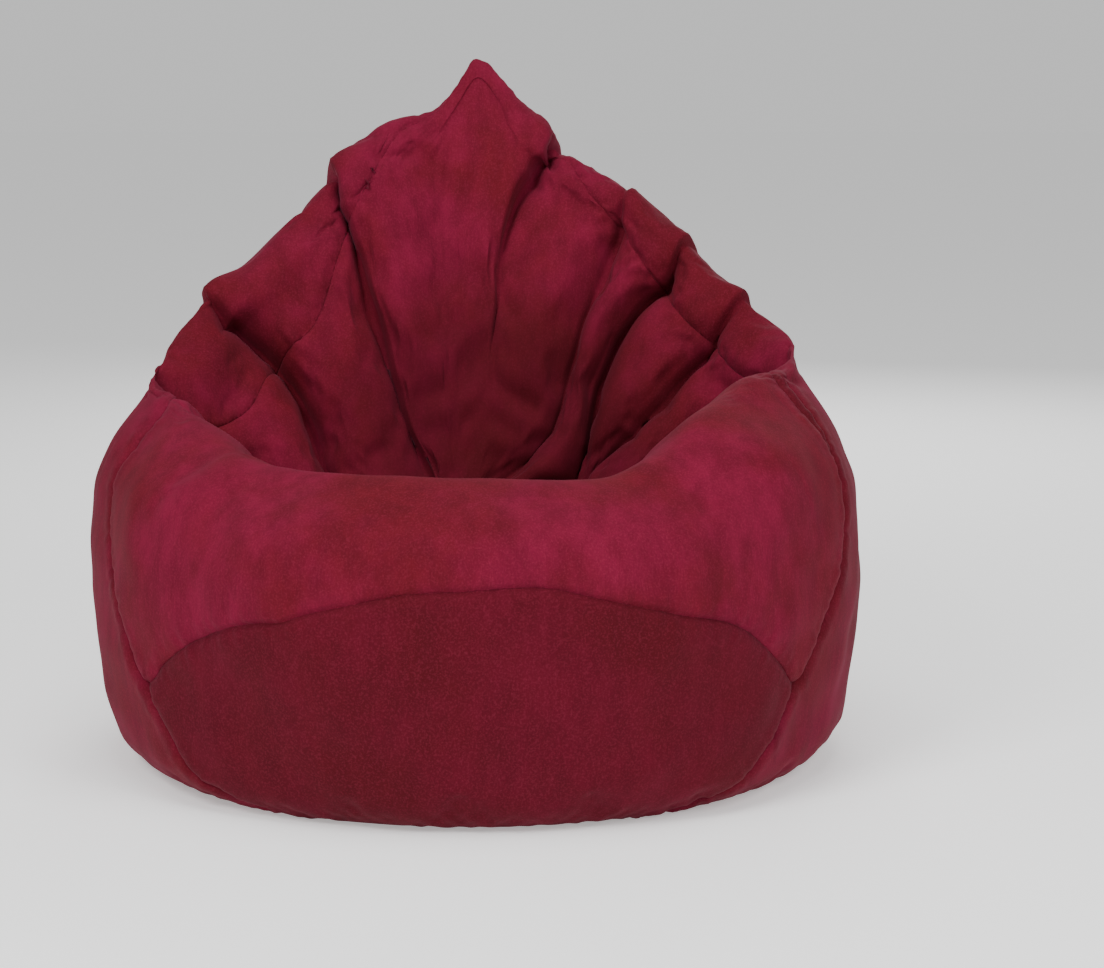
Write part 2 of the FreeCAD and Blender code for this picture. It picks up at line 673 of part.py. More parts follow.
def export(parts):
    """Checks every object and sub-part, then writes one STEP file for each sub-part."""
    doc.recompute()
    bad = [o.Label for o in doc.Objects if "Invalid" in o.State or "Error" in o.State]
    if bad:
        raise SystemExit("objects failed to recompute: %s" % bad)
    os.makedirs("parts", exist_ok=True)
    for old in os.listdir("parts"):
        if old.endswith(".step"):
            os.remove(os.path.join("parts", old))
    for name, obj in parts.items():
        shape = obj.Shape
        if shape.isNull() or not shape.isValid() or not shape.Solids:
            raise SystemExit("%s has no valid solid" % name)
        size = shape.BoundBox
        print("%-24s %3d solids %12.1f mm3  x %7.1f %7.1f  y %7.1f %7.1f  z %7.1f %7.1f" % (
            name, len(shape.Solids), shape.Volume, size.XMin, size.XMax, size.YMin, size.YMax,
            size.ZMin, size.ZMax))
        obj.Label = name
        shape.exportStep(os.path.join("parts", name + ".step"))


def main():
    """Builds every sub-part and writes it out."""
    fill_sheet()
    outside = soft_body("cover_outside", "cover_out")
    doc.recompute()
    front, apron, base, rear_left, rear_right = make_cover(outside)
    liner_front, liner_apron, liner_base, liner_left, liner_right, fill = make_liner_and_fill()
    parts = {
        "front_panel": front,
        "apron_panel": apron,
        "base_panel": base,
        "rear_panel_left": rear_left,
        "rear_panel_right": rear_right,
        "liner_front_panel": liner_front,
        "liner_apron_panel": liner_apron,
        "liner_base_panel": liner_base,
        "liner_rear_panel_left": liner_left,
        "liner_rear_panel_right": liner_right,
        "bead_fill": fill,
    }
    for prefix, stem in (("cover_zip", "zip"), ("liner_zip", "liner_zip")):
        pieces = make_tapes(prefix, stem) + make_teeth(prefix, stem) + make_stops(prefix, stem)
        pieces.append(make_slider(prefix, stem, bail=prefix == "cover_zip"))
        parts.update({piece.Label: piece for piece in pieces})
    parts["zip_pull"] = make_pull()
    loop, hinge = make_loop(back_surface(outside))
    parts["carry_loop"] = loop
    for piece in make_loop_ends(outside, hinge):
        parts[piece.Label] = piece
    parts["loop_backing_patch"] = make_backing_patch()
    print("loop hinge", hinge)
    export(parts)


main()
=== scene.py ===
"""Looks of a bean bag chair: its sewn suede cover, zips, liner and carry loop, in metres."""

import logging
import math
from dataclasses import dataclass, field
from enum import Enum
from typing import Any, Iterable, Iterator, Sequence

import bmesh
import bpy
import numpy as np
from mathutils import Matrix, Vector
from mathutils.kdtree import KDTree


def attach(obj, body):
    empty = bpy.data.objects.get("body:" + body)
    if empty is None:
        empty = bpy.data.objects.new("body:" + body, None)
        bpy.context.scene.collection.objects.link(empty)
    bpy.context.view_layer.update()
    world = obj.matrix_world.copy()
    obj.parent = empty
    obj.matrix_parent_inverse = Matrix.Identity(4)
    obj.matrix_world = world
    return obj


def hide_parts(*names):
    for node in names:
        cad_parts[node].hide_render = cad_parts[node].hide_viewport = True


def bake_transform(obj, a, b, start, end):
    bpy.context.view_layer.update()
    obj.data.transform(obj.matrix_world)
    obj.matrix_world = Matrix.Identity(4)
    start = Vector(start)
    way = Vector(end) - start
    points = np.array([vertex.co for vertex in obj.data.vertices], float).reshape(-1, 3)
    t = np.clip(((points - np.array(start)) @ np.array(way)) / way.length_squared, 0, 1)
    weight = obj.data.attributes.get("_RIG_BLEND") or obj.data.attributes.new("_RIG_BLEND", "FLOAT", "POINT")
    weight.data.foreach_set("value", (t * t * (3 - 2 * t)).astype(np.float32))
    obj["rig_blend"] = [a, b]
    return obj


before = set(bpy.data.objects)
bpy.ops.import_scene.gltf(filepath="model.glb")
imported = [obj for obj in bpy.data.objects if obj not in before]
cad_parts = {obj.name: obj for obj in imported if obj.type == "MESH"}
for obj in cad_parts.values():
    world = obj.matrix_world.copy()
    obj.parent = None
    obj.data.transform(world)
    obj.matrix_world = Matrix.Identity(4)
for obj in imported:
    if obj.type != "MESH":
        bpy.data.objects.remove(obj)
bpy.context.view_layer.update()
log = logging.getLogger("bean_bag")

BODY = "bag"
Grid = np.ndarray
Point = tuple[float, float, float]
# Half the length, width and thickness of a stitch.
THREAD: Point = (0.0013, 0.00042, 0.00042)


# ------------------------------------------------------------------ shader building
@dataclass
class Wire:
    """An output socket of a material's tree, on which arithmetic adds Math nodes."""

    tree: "MaterialTree"
    socket: Any

    def _math(self, operation: str, *values: Any) -> "Wire":
        """Adds a Math node.

        Args:
            operation: the Math node's operation.
            values: its inputs, in order, as wires or numbers.

        Returns:
            The wire of its result.
        """
        return self.tree.node("ShaderNodeMath", {"operation": operation}, *values)

    def __add__(self, other: Any) -> "Wire":
        """Sum."""
        return self._math("ADD", self, other)

    def __radd__(self, other: Any) -> "Wire":
        """Sum, from the right."""
        return self._math("ADD", other, self)

    def __sub__(self, other: Any) -> "Wire":
        """Difference."""
        return self._math("SUBTRACT", self, other)

    def __rsub__(self, other: Any) -> "Wire":
        """Difference, from the right."""
        return self._math("SUBTRACT", other, self)

    def __mul__(self, other: Any) -> "Wire":
        """Product."""
        return self._math("MULTIPLY", self, other)

    def __rmul__(self, other: Any) -> "Wire":
        """Product, from the right."""
        return self._math("MULTIPLY", other, self)

    def sine(self) -> "Wire":
        """The sine of this value."""
        return self._math("SINE", self)

    def between(self, low: float, high: float) -> "Wire":
        """A smooth 0 to 1 as this value goes from low to high."""
        settings = {"interpolation_type": "SMOOTHSTEP"}
        return self.tree.node("ShaderNodeMapRange", settings, self, low, high)


class MaterialTree:
    """A material's node tree, and the few ways in which its nodes are added."""

    def __init__(self, name: str) -> None:
        """Starts an empty material.

        Args:
            name: the material's name.
        """
        self.material = bpy.data.materials.new(name)
        self.material.use_nodes = True
        self.tree = self.material.node_tree
        self.tree.nodes.clear()

    def node(self, kind: str, settings: dict[str, Any], *values: Any, out: int | str = 0,
             **named: Any) -> Wire:
        """Adds a node: its settings first, then its inputs.

        Args:
            kind: the node's type.
            settings: its own properties.
            values: inputs in order; None leaves one alone.
            out: the output to return.
            named: inputs by name, with _ for a space.

        Returns:
            The wire of the chosen output.
        """
        made = self.tree.nodes.new(kind)
        for key, value in settings.items():
            setattr(made, key, value)
        inputs = [s for s in made.inputs if s.enabled]
        for slot, value in zip(inputs, values):
            self._feed(slot, value)
        for key, value in named.items():
            label = key.replace("_", " ")
            self._feed(next(s for s in inputs if s.name == label), value)
        outputs = [s for s in made.outputs if s.enabled]
        chosen = outputs[out] if isinstance(out, int) else next(s for s in outputs if s.name == out)
        return Wire(self, chosen)

    def _feed(self, slot: Any, value: Any) -> None:
        """Links a wire to an input socket, or sets the socket to a value."""
        if isinstance(value, Wire):
            self.tree.links.new(value.socket, slot)
        elif value is not None:
            slot.default_value = value

    def mix(self, factor: Any, first: Any, second: Any) -> Wire:
        """Mixes two colours by a factor."""
        settings = {"data_type": "RGBA", "blend_type": "MIX"}
        return self.node("ShaderNodeMix", settings, factor, rgba(first), rgba(second))

    def place(self, scale: Sequence[float] = (1, 1, 1), turn: Sequence[float] = (0, 0, 0)) -> Wire:
        """The surface point in the object's own metres, scaled and turned."""
        coordinates = self.node("ShaderNodeTexCoord", {}, out="Object")
        return self.node("ShaderNodeMapping", {"vector_type": "POINT"}, coordinates, None, turn, scale)

    def noise(self, where: Wire, scale: float, detail: float = 3.0, rough: float = 0.5) -> Wire:
        """A noise pattern, from 0 to 1."""
        return self.node("ShaderNodeTexNoise", {"noise_dimensions": "3D"}, where, Scale=scale,
                         Detail=detail, Roughness=rough)

    def finish(self, fixed: dict[str, Any], **varying: Any) -> bpy.types.Material:
        """Closes the tree with a Principled shader.

        Args:
            fixed: sockets that hold one value all over.
            varying: sockets that are fed by wires.

        Returns:
            The finished material.
        """
        shader = self.tree.nodes.new("ShaderNodeBsdfPrincipled")
        for key, value in fixed.items():
            shader.inputs[key].default_value = value
        for key, value in varying.items():
            self._feed(shader.inputs[key.replace("_", " ")], value)
        output = self.tree.nodes.new("ShaderNodeOutputMaterial")
        self.tree.links.new(shader.outputs[0], output.inputs[0])
        return self.material


def rgba(colour: Any) -> Any:
    """A colour with its alpha, or the wire as it is."""
    return colour if isinstance(colour, Wire) else (*colour, 1.0)


# ------------------------------------------------------------------ finishes
@dataclass(frozen=True)
class SuedeFinish:
    """Short-napped faux suede: mottled colour, brushed nap, fine grain, a soft sheen, and painted shade over
    whole panels and in the seat's hollow.
    """

    name: str = "cover_suede"
    panel_shade: float = 1.0             # painted shade: a factor on all of this panel's colours, lowest on the apron and base, which face the floor
    seat_shade: float = 0.0         # how strong the painted shade in the seat's hollow is
    rose: Point = (0.170, 0.0072, 0.030)
    wine: Point = (0.118, 0.0055, 0.0125)
    shade: Point = (0.052, 0.0028, 0.006)
    fleck: Point = (0.33, 0.03, 0.07)
    sheen: float = 0.08
    seat: Point = (0.03, 0.12, 0.34)           # the middle of the painted shade in the seat's hollow
    seat_reach: tuple[float, float] = (0.12, 0.30)

    def panel_shaded(self, colour: Point) -> Point:
        """A colour darkened by this panel's painted shade."""
        return tuple(self.panel_shade * part for part in colour)

    def make(self) -> bpy.types.Material:
        """Builds the material."""
        tree = MaterialTree(self.name)
        at = tree.place()
        patches = tree.noise(at, 5.5, 4.0, 0.62).between(0.36, 0.66)
        brushed = tree.noise(tree.place((1.0, 1.0, 0.35)), 38.0, 4.0, 0.6).between(0.30, 0.72)
        specks = tree.noise(at, 420.0, 2.0, 0.6).between(0.42, 0.75)
        threads = tree.noise(tree.place((1.0, 1.0, 0.12)), 620.0, 2.0, 0.5)
        colour = tree.mix(patches, self.panel_shaded(self.wine), self.panel_shaded(self.rose))
        colour = tree.mix(brushed * 0.42, colour, self.shade)
        colour = tree.mix(specks * 0.16, colour, self.fleck)
        colour = tree.mix(threads.between(0.35, 0.7) * 0.14, colour, self.shade)
        # Painted shade in the seat's hollow: the colour darkens towards the shade colour near the seat's
        # middle.
        if self.seat_shade:
            away = tree.node("ShaderNodeVectorMath", {"operation": "DISTANCE"}, at, self.seat, out="Value")
            colour = tree.mix((1.0 - away.between(*self.seat_reach)) * self.seat_shade, colour, self.shade)
        relief = tree.noise(at, 900.0, 3.0, 0.6) * 0.6 + threads * 0.5 + brushed * 0.5
        normal = tree.node("ShaderNodeBump", {}, Strength=0.35, Distance=0.0006, Height=relief)
        fixed = {"Sheen Weight": self.sheen, "Sheen Roughness": 0.45,
                 "Sheen Tint": (0.85, 0.25, 0.38, 1.0), "Specular IOR Level": 0.10}
        return tree.finish(fixed, Base_Color=colour, Roughness=0.86 + patches * 0.08, Normal=normal)


# ------------------------------------------------------------------ the bag's form
@dataclass(frozen=True)
class Guide:
    """A line that the cloth's folds follow, from the pan of the seat, over the rim, to the foot.

    Shares are 0 at the middle of the pan, 1 at the rim. Azimuths are degrees about the seat's
    axis, 0 to the sitter's left and 90 to the rear.
    """

    name: str
    columns: int                 # how many columns lie between this guide and the next one
    outside: float               # azimuth on the outside of the bag
    path: tuple[tuple[float, float], ...] = ()
    valley: float = 0.0          # how deep the fold is pressed in, at its deepest
    half_width: float = 0.016
    fades: tuple[float, float] = (0.2, 1.17)   # shares where the valley starts and is gone
    deepest: float = 0.5
    lift_right: float = 0.0      # how far the cloth on each side stands over the fold
    lift_left: float = 0.0
    lift_at: tuple[tuple[float, float], ...] = ((0.3, 0.3), (0.6, 1.0), (1.0, 1.0), (1.2, 0.0))
    reach: float = 0.05


RIM: tuple[Point, ...] = (
    (0.000, -0.345, 0.388), (0.120, -0.335, 0.387), (0.205, -0.295, 0.402), (0.280, -0.205, 0.452),
    (0.340, -0.120, 0.474), (0.395, -0.030, 0.484), (0.405, 0.040, 0.500), (0.372, 0.105, 0.530),
    (0.318, 0.155, 0.572), (0.270, 0.190, 0.614), (0.205, 0.222, 0.668), (0.140, 0.245, 0.712),
    (0.092, 0.260, 0.742), (0.045, 0.272, 0.786), (0.022, 0.277, 0.820), (-0.009, 0.281, 0.843),
    (-0.030, 0.276, 0.815), (-0.050, 0.270, 0.790), (-0.116, 0.247, 0.762), (-0.166, 0.230, 0.722),
    (-0.197, 0.220, 0.700), (-0.237, 0.205, 0.656), (-0.290, 0.180, 0.612), (-0.345, 0.150, 0.567),
    (-0.378, 0.105, 0.524), (-0.405, 0.050, 0.487), (-0.415, -0.010, 0.464), (-0.385, -0.075, 0.449),
    (-0.335, -0.150, 0.434), (-0.285, -0.240, 0.404), (-0.235, -0.290, 0.391), (-0.120, -0.335, 0.387),
)

ARM_LIFT = ((0.3, 0.3), (0.6, 1.0), (0.82, 0.9), (0.96, 0.25), (1.05, 0.0))

GUIDES: tuple[Guide, ...] = (
    Guide("front", 100, -90.0),
    Guide("right_arm", 24, 8.0, ((0.38, 38.0), (0.47, 32.4), (0.60, 27.2), (0.78, 19.4), (0.85, 15.2),
                                 (0.90, 13.6), (1.0, 11.5)),
          valley=0.046, half_width=0.018, fades=(0.2, 1.06), deepest=0.6, lift_right=0.018, reach=0.06,
          lift_at=ARM_LIFT),
    Guide("right_low", 20, 28.0, ((0.36, 60.0), (0.41, 55.3), (0.53, 42.9), (0.615, 37.9), (0.675, 36.2),
                                  (0.76, 33.6), (0.857, 32.3), (1.0, 31.0)),
          valley=0.038, fades=(0.2, 1.08), deepest=0.45, lift_left=0.012),
    Guide("right_middle", 20, 43.0, ((0.34, 80.0), (0.41, 60.0), (0.47, 57.0), (0.545, 56.2), (0.616, 54.0),
                                     (0.67, 51.2), (0.76, 46.7), (0.857, 45.4), (1.0, 44.5)),
          valley=0.052, fades=(0.2, 1.06), deepest=0.42, lift_left=0.014),
    Guide("right_high", 24, 57.0, ((0.35, 87.0), (0.427, 73.3), (0.47, 67.5), (0.50, 65.7), (0.576, 62.8),
                                   (0.614, 62.0), (0.673, 59.4), (0.74, 58.0), (1.0, 57.5)),
          valley=0.034, fades=(0.2, 1.0), deepest=0.45, lift_right=0.008),
    Guide("flap_right", 22, 74.0, ((0.36, 92.0), (0.46, 89.0), (0.55, 86.0), (0.60, 85.0), (0.625, 84.1),
                                   (0.67, 81.5), (0.714, 78.4), (0.86, 74.8), (1.0, 74.0)),
          valley=0.030, half_width=0.013, fades=(0.52, 1.15), deepest=0.74, lift_left=0.026, reach=0.07,
          lift_at=((0.50, 0.0), (0.68, 1.0), (1.0, 1.0), (1.2, 0.0))),
    Guide("peak", 34, 90.0, ((0.36, 97.0), (0.6, 101.0), (0.85, 97.0), (1.0, 91.5))),
    Guide("flap_left", 34, 122.0, ((0.34, 104.0), (0.36, 107.5), (0.435, 112.0), (0.49, 115.0), (0.55, 117.7),
                                   (0.62, 120.2), (0.70, 121.6), (0.79, 122.9), (1.0, 123.3)),
          valley=0.028, half_width=0.012, fades=(0.25, 1.2), deepest=0.6, lift_right=0.024, reach=0.07),
    Guide("left_high", 26, 147.0, ((0.34, 137.0), (0.41, 139.0), (0.48, 140.3), (0.61, 141.2), (0.69, 143.1),
                                   (0.78, 145.2), (0.86, 148.0), (1.0, 149.7)),
          valley=0.054, fades=(0.2, 1.10), deepest=0.45, lift_right=0.014),
    Guide("left_arm", 100, 171.0, ((0.38, 152.0), (0.51, 159.0), (0.65, 162.6), (0.80, 166.9), (1.0, 169.5)),
          valley=0.044, half_width=0.018, fades=(0.2, 1.06), deepest=0.6, lift_left=0.016, reach=0.06,
          lift_at=ARM_LIFT),
)


def smooth(value: Grid, low: float, high: float) -> Grid:
    """A smooth 0 to 1 as a value goes from low to high."""
    share = np.clip((value - low) / (high - low), 0.0, 1.0)
    return share * share * (3.0 - 2.0 * share)


def hermite(share: Grid, here: Grid, there: Grid, leaving: Grid, arriving: Grid, span: Any = 1.0) -> Grid:
    """A smooth curve between two values.

    Args:
        share: how far along the curve to read it, 0 to 1.
        here: the value at its start.
        there: the value at its end.
        leaving: its slope at the start.
        arriving: its slope at the end.
        span: the length over which the slopes are measured.

    Returns:
        The value there.
    """
    square, cube = share ** 2, share ** 3
    return ((2 * cube - 3 * square + 1) * here + (cube - 2 * square + share) * span * leaving
            + (3 * square - 2 * cube) * there + (cube - square) * span * arriving)


def ring_spline(angles: Grid, values: Grid, at: Grid) -> Grid:
    """A smooth closed curve through values at ascending angles.

    Args:
        angles: the angles of the values, in degrees, over less than a turn.
        values: the values there.
        at: the angles to read, any shape.

    Returns:
        The values at those angles.
    """
    knots = np.concatenate([angles[-3:] - 360.0, angles, angles[:3] + 360.0])
    heights = np.concatenate([values[-3:], values, values[:3]])
    steps = np.diff(knots)
    slopes = np.diff(heights) / steps
    tangents = np.zeros_like(heights)
    tangents[1:-1] = (slopes[:-1] * steps[1:] + slopes[1:] * steps[:-1]) / (steps[:-1] + steps[1:])
    wrapped = (at - knots[0]) % 360.0 + knots[0]
    wrapped = np.where(wrapped > knots[-1], wrapped - 360.0, wrapped)
    index = np.clip(np.searchsorted(knots, wrapped, side="right") - 1, 0, len(knots) - 2)
    share = (wrapped - knots[index]) / steps[index]
    return hermite(share, heights[index], heights[index + 1], tangents[index], tangents[index + 1],
                   steps[index])


# The points of a meridian, counted from the pan, at which it meets the rim, the shoulder below
# the rim, and the bag's widest part. Shares are counted in lengths from the pan to the rim.
RIM_POINT, SHOULDER_POINT, WIDEST_POINT = 7, 10, 12


@dataclass
class BagForm:
    """The bag's outside as meridians about the seat's axis, with its folds pressed in."""

    axis_y: float = -0.08
    pan_height: float = 0.262
    pan_radius: float = 0.185
    widest_radius: float = 0.470
    widest_height: float = 0.215
    upper_radius: float = 0.850
    lower_radius: float = 0.338
    nape_span: float = 27.0
    nape_radius: float = 0.300
    nape_top: float = 0.850
    # Heights and radii of the soft foot, which bulges over the floor.
    foot: tuple[tuple[float, float], ...] = (
        (0.115, 0.462), (0.042, 0.446), (0.011, 0.424), (0.0006, 0.386), (0.0, 0.330), (0.0, 0.160))
    # The roll round the seat: how far its round edge reaches in and down, and out and down.
    # Each is the size at the sides, and what the front, the hood and the peak add to it.
    roll_inward: tuple[float, ...] = (0.090, 0.010, -0.052, -0.022)
    roll_inner_drop: tuple[float, ...] = (0.105, -0.010, -0.030, -0.025)
    roll_outer_drop: tuple[float, ...] = (0.110, 0.0, 0.020, -0.060)
    slimming: float = 0.078
    rows_each: tuple[int, ...] = (6, 8, 12, 14, 12, 12, 12, 12, 12, 12, 12, 12, 12, 10, 5, 5, 4, 4, 4)
    # A fold stays at its deepest for a length, and then goes on as a trace that fades at its end.
    full_length: float = 0.25
    trace: float = 0.20
    fade_length: float = 0.15
    # How the cloth is held as it swells: how wide beside a fold, the crown's seam and the zip, how
    # firmly at the crown, over which shares at the floor, and beyond what place at the carry loop.
    fold_hold: float = 0.012
    fold_end: float = 1.2
    crown_hold: float = 0.02
    crown_firmness: float = 0.4
    floor_hold: tuple[float, float] = (2.14, 2.28)
    zip_hold: float = 0.05
    rear: float = 0.2
    loop_hold: Point = (0.14, 0.25, 0.58)
    # Height in metres, size and seed of each unevenness, and depth and width of the hood's pulls.
    unevenness: tuple[tuple[float, float, int], ...] = ((0.0035, 0.20, 3), (0.0012, 0.07, 4))
    pull_depth: float = 0.0055
    pull_wave: float = 0.105
    share: Grid = field(default_factory=lambda: np.zeros(0))

    def azimuths(self, shares: Grid) -> Grid:
        """The azimuth of every grid point, so that columns run along the guides.

        Args:
            shares: each row's share of the way from pan to rim.

        Returns:
            Degrees, one row for each share, one column for each meridian.
        """
        lines = []
        for guide in GUIDES:
            if guide.path:
                at, turned = zip(*guide.path)
                inside = np.interp(shares, at, turned)
            else:
                inside = np.full_like(shares, guide.outside)
            lines.append(inside + (guide.outside - inside) * smooth(shares, 1.0, 1.6))
        lines.append(lines[0] + 360.0)
        columns = []
        for guide, here, there in zip(GUIDES, lines, lines[1:]):
            for step in range(guide.columns):
                columns.append(here + (there - here) * step / guide.columns)
        return np.stack(columns, axis=1)

    def flank_radius(self, height: Grid) -> Grid:
        """The bag's radius about its own upright axis at a height."""
        upper = self.widest_radius - self.upper_radius + np.sqrt(
            np.maximum(self.upper_radius ** 2 - (height - self.widest_height) ** 2, 0.0))
        lower = self.widest_radius - self.lower_radius + np.sqrt(
            np.maximum(self.lower_radius ** 2 - (height - self.widest_height) ** 2, 0.0))
        bend = self.widest_height + self.upper_radius * math.sin(math.radians(self.nape_span))
        bend_radius = self.widest_radius - self.upper_radius * (1 - math.cos(math.radians(self.nape_span)))
        nape = bend_radius + (self.nape_radius - bend_radius) * (height - bend) / (self.nape_top - bend)
        return np.where(height < self.widest_height, lower, np.where(height < bend, upper, nape))

    def from_axis(self, azimuth: Grid, radius: Grid) -> Grid:
        """How far from the seat's axis a circle about the bag's own axis lies at an azimuth."""
        rise, run = np.sin(np.radians(azimuth)), np.cos(np.radians(azimuth))
        return -self.axis_y * rise + np.sqrt(np.maximum(radius ** 2 - (self.axis_y * run) ** 2, 0.0))

    def meridian_points(self, azimuth: Grid) -> tuple[Grid, Grid]:
        """The points that each meridian passes through, at the given azimuths.

        Args:
            azimuth: degrees, any shape.

        Returns:
            Radii from the seat's axis and heights, with the points along the first axis.
        """
        rim = np.array(RIM)
        angles = np.degrees(np.arctan2(rim[:, 1] - self.axis_y, rim[:, 0]))
        angles = np.where(angles < -90.001, angles + 360.0, angles)
        reach = np.hypot(rim[:, 0], rim[:, 1] - self.axis_y)
        order = np.argsort(angles)
        rim_radius = ring_spline(angles[order], reach[order], azimuth)
        rim_height = ring_spline(angles[order], rim[order, 2], azimuth)
        hood = smooth(rim_height, 0.46, 0.70)
        peak = smooth(rim_height, 0.70, 0.84)
        front = smooth(-np.sin(np.radians(azimuth)), 0.2, 0.9)
        inward, inner_drop, outer_drop = (
            side + at_front * front + at_hood * hood + at_peak * peak for side, at_front, at_hood, at_peak
            in (self.roll_inward, self.roll_inner_drop, self.roll_outer_drop))
        pan = self.pan_radius - 0.020 * front
        wall_radius = rim_radius - inward
        wall_height = rim_height - inner_drop
        wall_foot = np.full_like(azimuth, self.pan_height + 0.030)
        shoulder_height = rim_height - outer_drop
        shoulder = self.from_axis(azimuth, self.flank_radius(shoulder_height))
        outward = np.maximum(shoulder - rim_radius, 0.004)
        zero = np.zeros_like(azimuth)
        pan_height = np.full_like(azimuth, self.pan_height)
        points = [
            (zero, pan_height),
            (0.5 * pan, pan_height + 0.002),
            (0.85 * pan, pan_height + 0.012),
            (pan + 0.18 * (wall_radius - pan), wall_foot + 0.16 * (wall_height - wall_foot)),
            (pan + 0.55 * (wall_radius - pan), wall_foot + 0.55 * (wall_height - wall_foot)),
            (wall_radius, wall_height),
            (rim_radius - 0.62 * inward, rim_height - 0.36 * inner_drop),
            (rim_radius, rim_height),
            (rim_radius + 0.50 * outward, rim_height - 0.16 * outer_drop),
            (rim_radius + 0.86 * outward, rim_height - 0.50 * outer_drop),
            (shoulder, shoulder_height),
        ]
        for share in (0.5, 1.0):
            height = shoulder_height + (self.widest_height - shoulder_height) * share
            points.append((self.from_axis(azimuth, self.flank_radius(height)), height))
        for height, level in self.foot:
            reach = self.from_axis(azimuth, np.full_like(azimuth, level))
            points.append((reach, np.full_like(azimuth, height)))
        points.append((zero, zero))
        return np.stack([p[0] for p in points]), np.stack([p[1] for p in points])

    def grid(self) -> Grid:
        """The smooth bag's points, rows from the pan to the middle of the base, before any fold."""
        shares = []
        for segment, rows in enumerate(self.rows_each):
            shares += [(segment + step / rows) / RIM_POINT for step in range(rows)]
        shares.append(len(self.rows_each) / RIM_POINT)
        self.share = np.array(shares)
        azimuth = self.azimuths(self.share)
        radii, heights = self.meridian_points(azimuth)
        at = np.clip(self.share * RIM_POINT, 0.0, len(self.rows_each) - 1e-9)
        segment = at.astype(int)
        within = (at - segment)[:, None]
        rows = np.arange(len(self.share))[:, None]
        columns = np.arange(azimuth.shape[1])[None, :]

        def along(values: Grid) -> Grid:
            """Passes a smooth curve through the meridian points, read at each row's place."""
            last = values.shape[0] - 1
            before, here, there, after = (
                values[np.clip(segment + step, 0, last)[:, None], rows, columns] for step in (-1, 0, 1, 2))
            return hermite(within, here, there, (there - before) / 2, (after - here) / 2)

        radius, height = along(radii), np.maximum(along(heights), 0.0)
        # Between the shoulder and the widest part the cloth lies on the flank's own curve.
        shoulder, widest = SHOULDER_POINT / RIM_POINT, WIDEST_POINT / RIM_POINT
        flank = ((self.share >= shoulder) & (self.share <= widest))[:, None]
        radius = np.where(flank, self.from_axis(azimuth, self.flank_radius(height)), radius)
        turned = np.radians(azimuth)
        across = radius * np.cos(turned)
        # The hood's sides are slimmer than a round bag's.
        slim = self.slimming * smooth(height, 0.34, 0.47) * (1 - smooth(height, 0.66, 0.80))
        across *= 1 - slim * smooth(self.share, 0.85, 1.15)[:, None]
        return np.stack([across, self.axis_y + radius * np.sin(turned), height], axis=2)

    def normals(self, points: Grid) -> Grid:
        """The outward normals of a grid of points."""
        along = np.gradient(points, axis=0)
        across = np.roll(points, -1, axis=1) - np.roll(points, 1, axis=1)
        normal = np.cross(across, along)
        size = np.linalg.norm(normal, axis=2, keepdims=True)
        outward = -normal / np.maximum(size, 1e-12)
        outward[:2] = (0.0, 0.0, 1.0)
        outward[-2:] = (0.0, 0.0, -1.0)
        return outward

    @staticmethod
    def folds(points: Grid) -> Iterator[tuple[Guide, Grid]]:
        """Finds how far the cloth lies from each fold.

        Args:
            points: the bag's grid of points.

        Yields:
            Each guide that has a fold, and every point's distance from it along the point's row.
        """
        steps = np.linalg.norm(np.roll(points, -1, axis=1) - points, axis=2)
        travelled = np.concatenate([np.zeros((len(points), 1)), np.cumsum(steps, axis=1)[:, :-1]], axis=1)
        column = 0
        for guide in GUIDES:
            if guide.path:
                yield guide, travelled - travelled[:, column:column + 1]
            column += guide.columns

    def folded(self, spread: float = 1.0, lifted: bool = True) -> Grid:
        """The bag's points with its folds pressed in.

        Args:
            spread: how many times wider the folds' valleys are.
            lifted: whether the cloth beside a fold stands over it.

        Returns:
            The grid of points.
        """
        points = self.grid()
        normal = self.normals(points)
        offset = np.zeros(points.shape[:2])
        for guide, away in self.folds(points):
            start, end = guide.fades
            entered = smooth(self.share, start, guide.deepest)
            strength = entered * (1 - smooth(self.share, guide.deepest + self.full_length, end))
            trace = self.trace * (1 - smooth(self.share, end - self.fade_length, end)) * entered
            strength = np.maximum(strength, trace)[:, None]
            offset -= guide.valley * strength * np.exp(-np.abs(away) / (guide.half_width * spread))
            if not lifted:
                continue
            lift_share, lift_size = zip(*guide.lift_at)
            lift = np.interp(self.share, lift_share, lift_size)[:, None]
            fade = np.exp(-(np.abs(away) / guide.reach) ** 1.6)
            higher = np.where(away > 0, guide.lift_left, np.where(away < 0, guide.lift_right, 0.0))
            offset += lift * fade * higher
        return points + normal * offset[:, :, None]

    @staticmethod
    def denser_azimuths(azimuth: Grid) -> Grid:
        """Azimuths for a grid of twice the rows and columns, which close on a whole turn."""
        columns = azimuth.shape[1]
        coarse = 360.0 * np.arange(columns) / columns
        fine = 360.0 * np.arange(2 * columns) / (2 * columns)
        return denser(azimuth - coarse) + fine

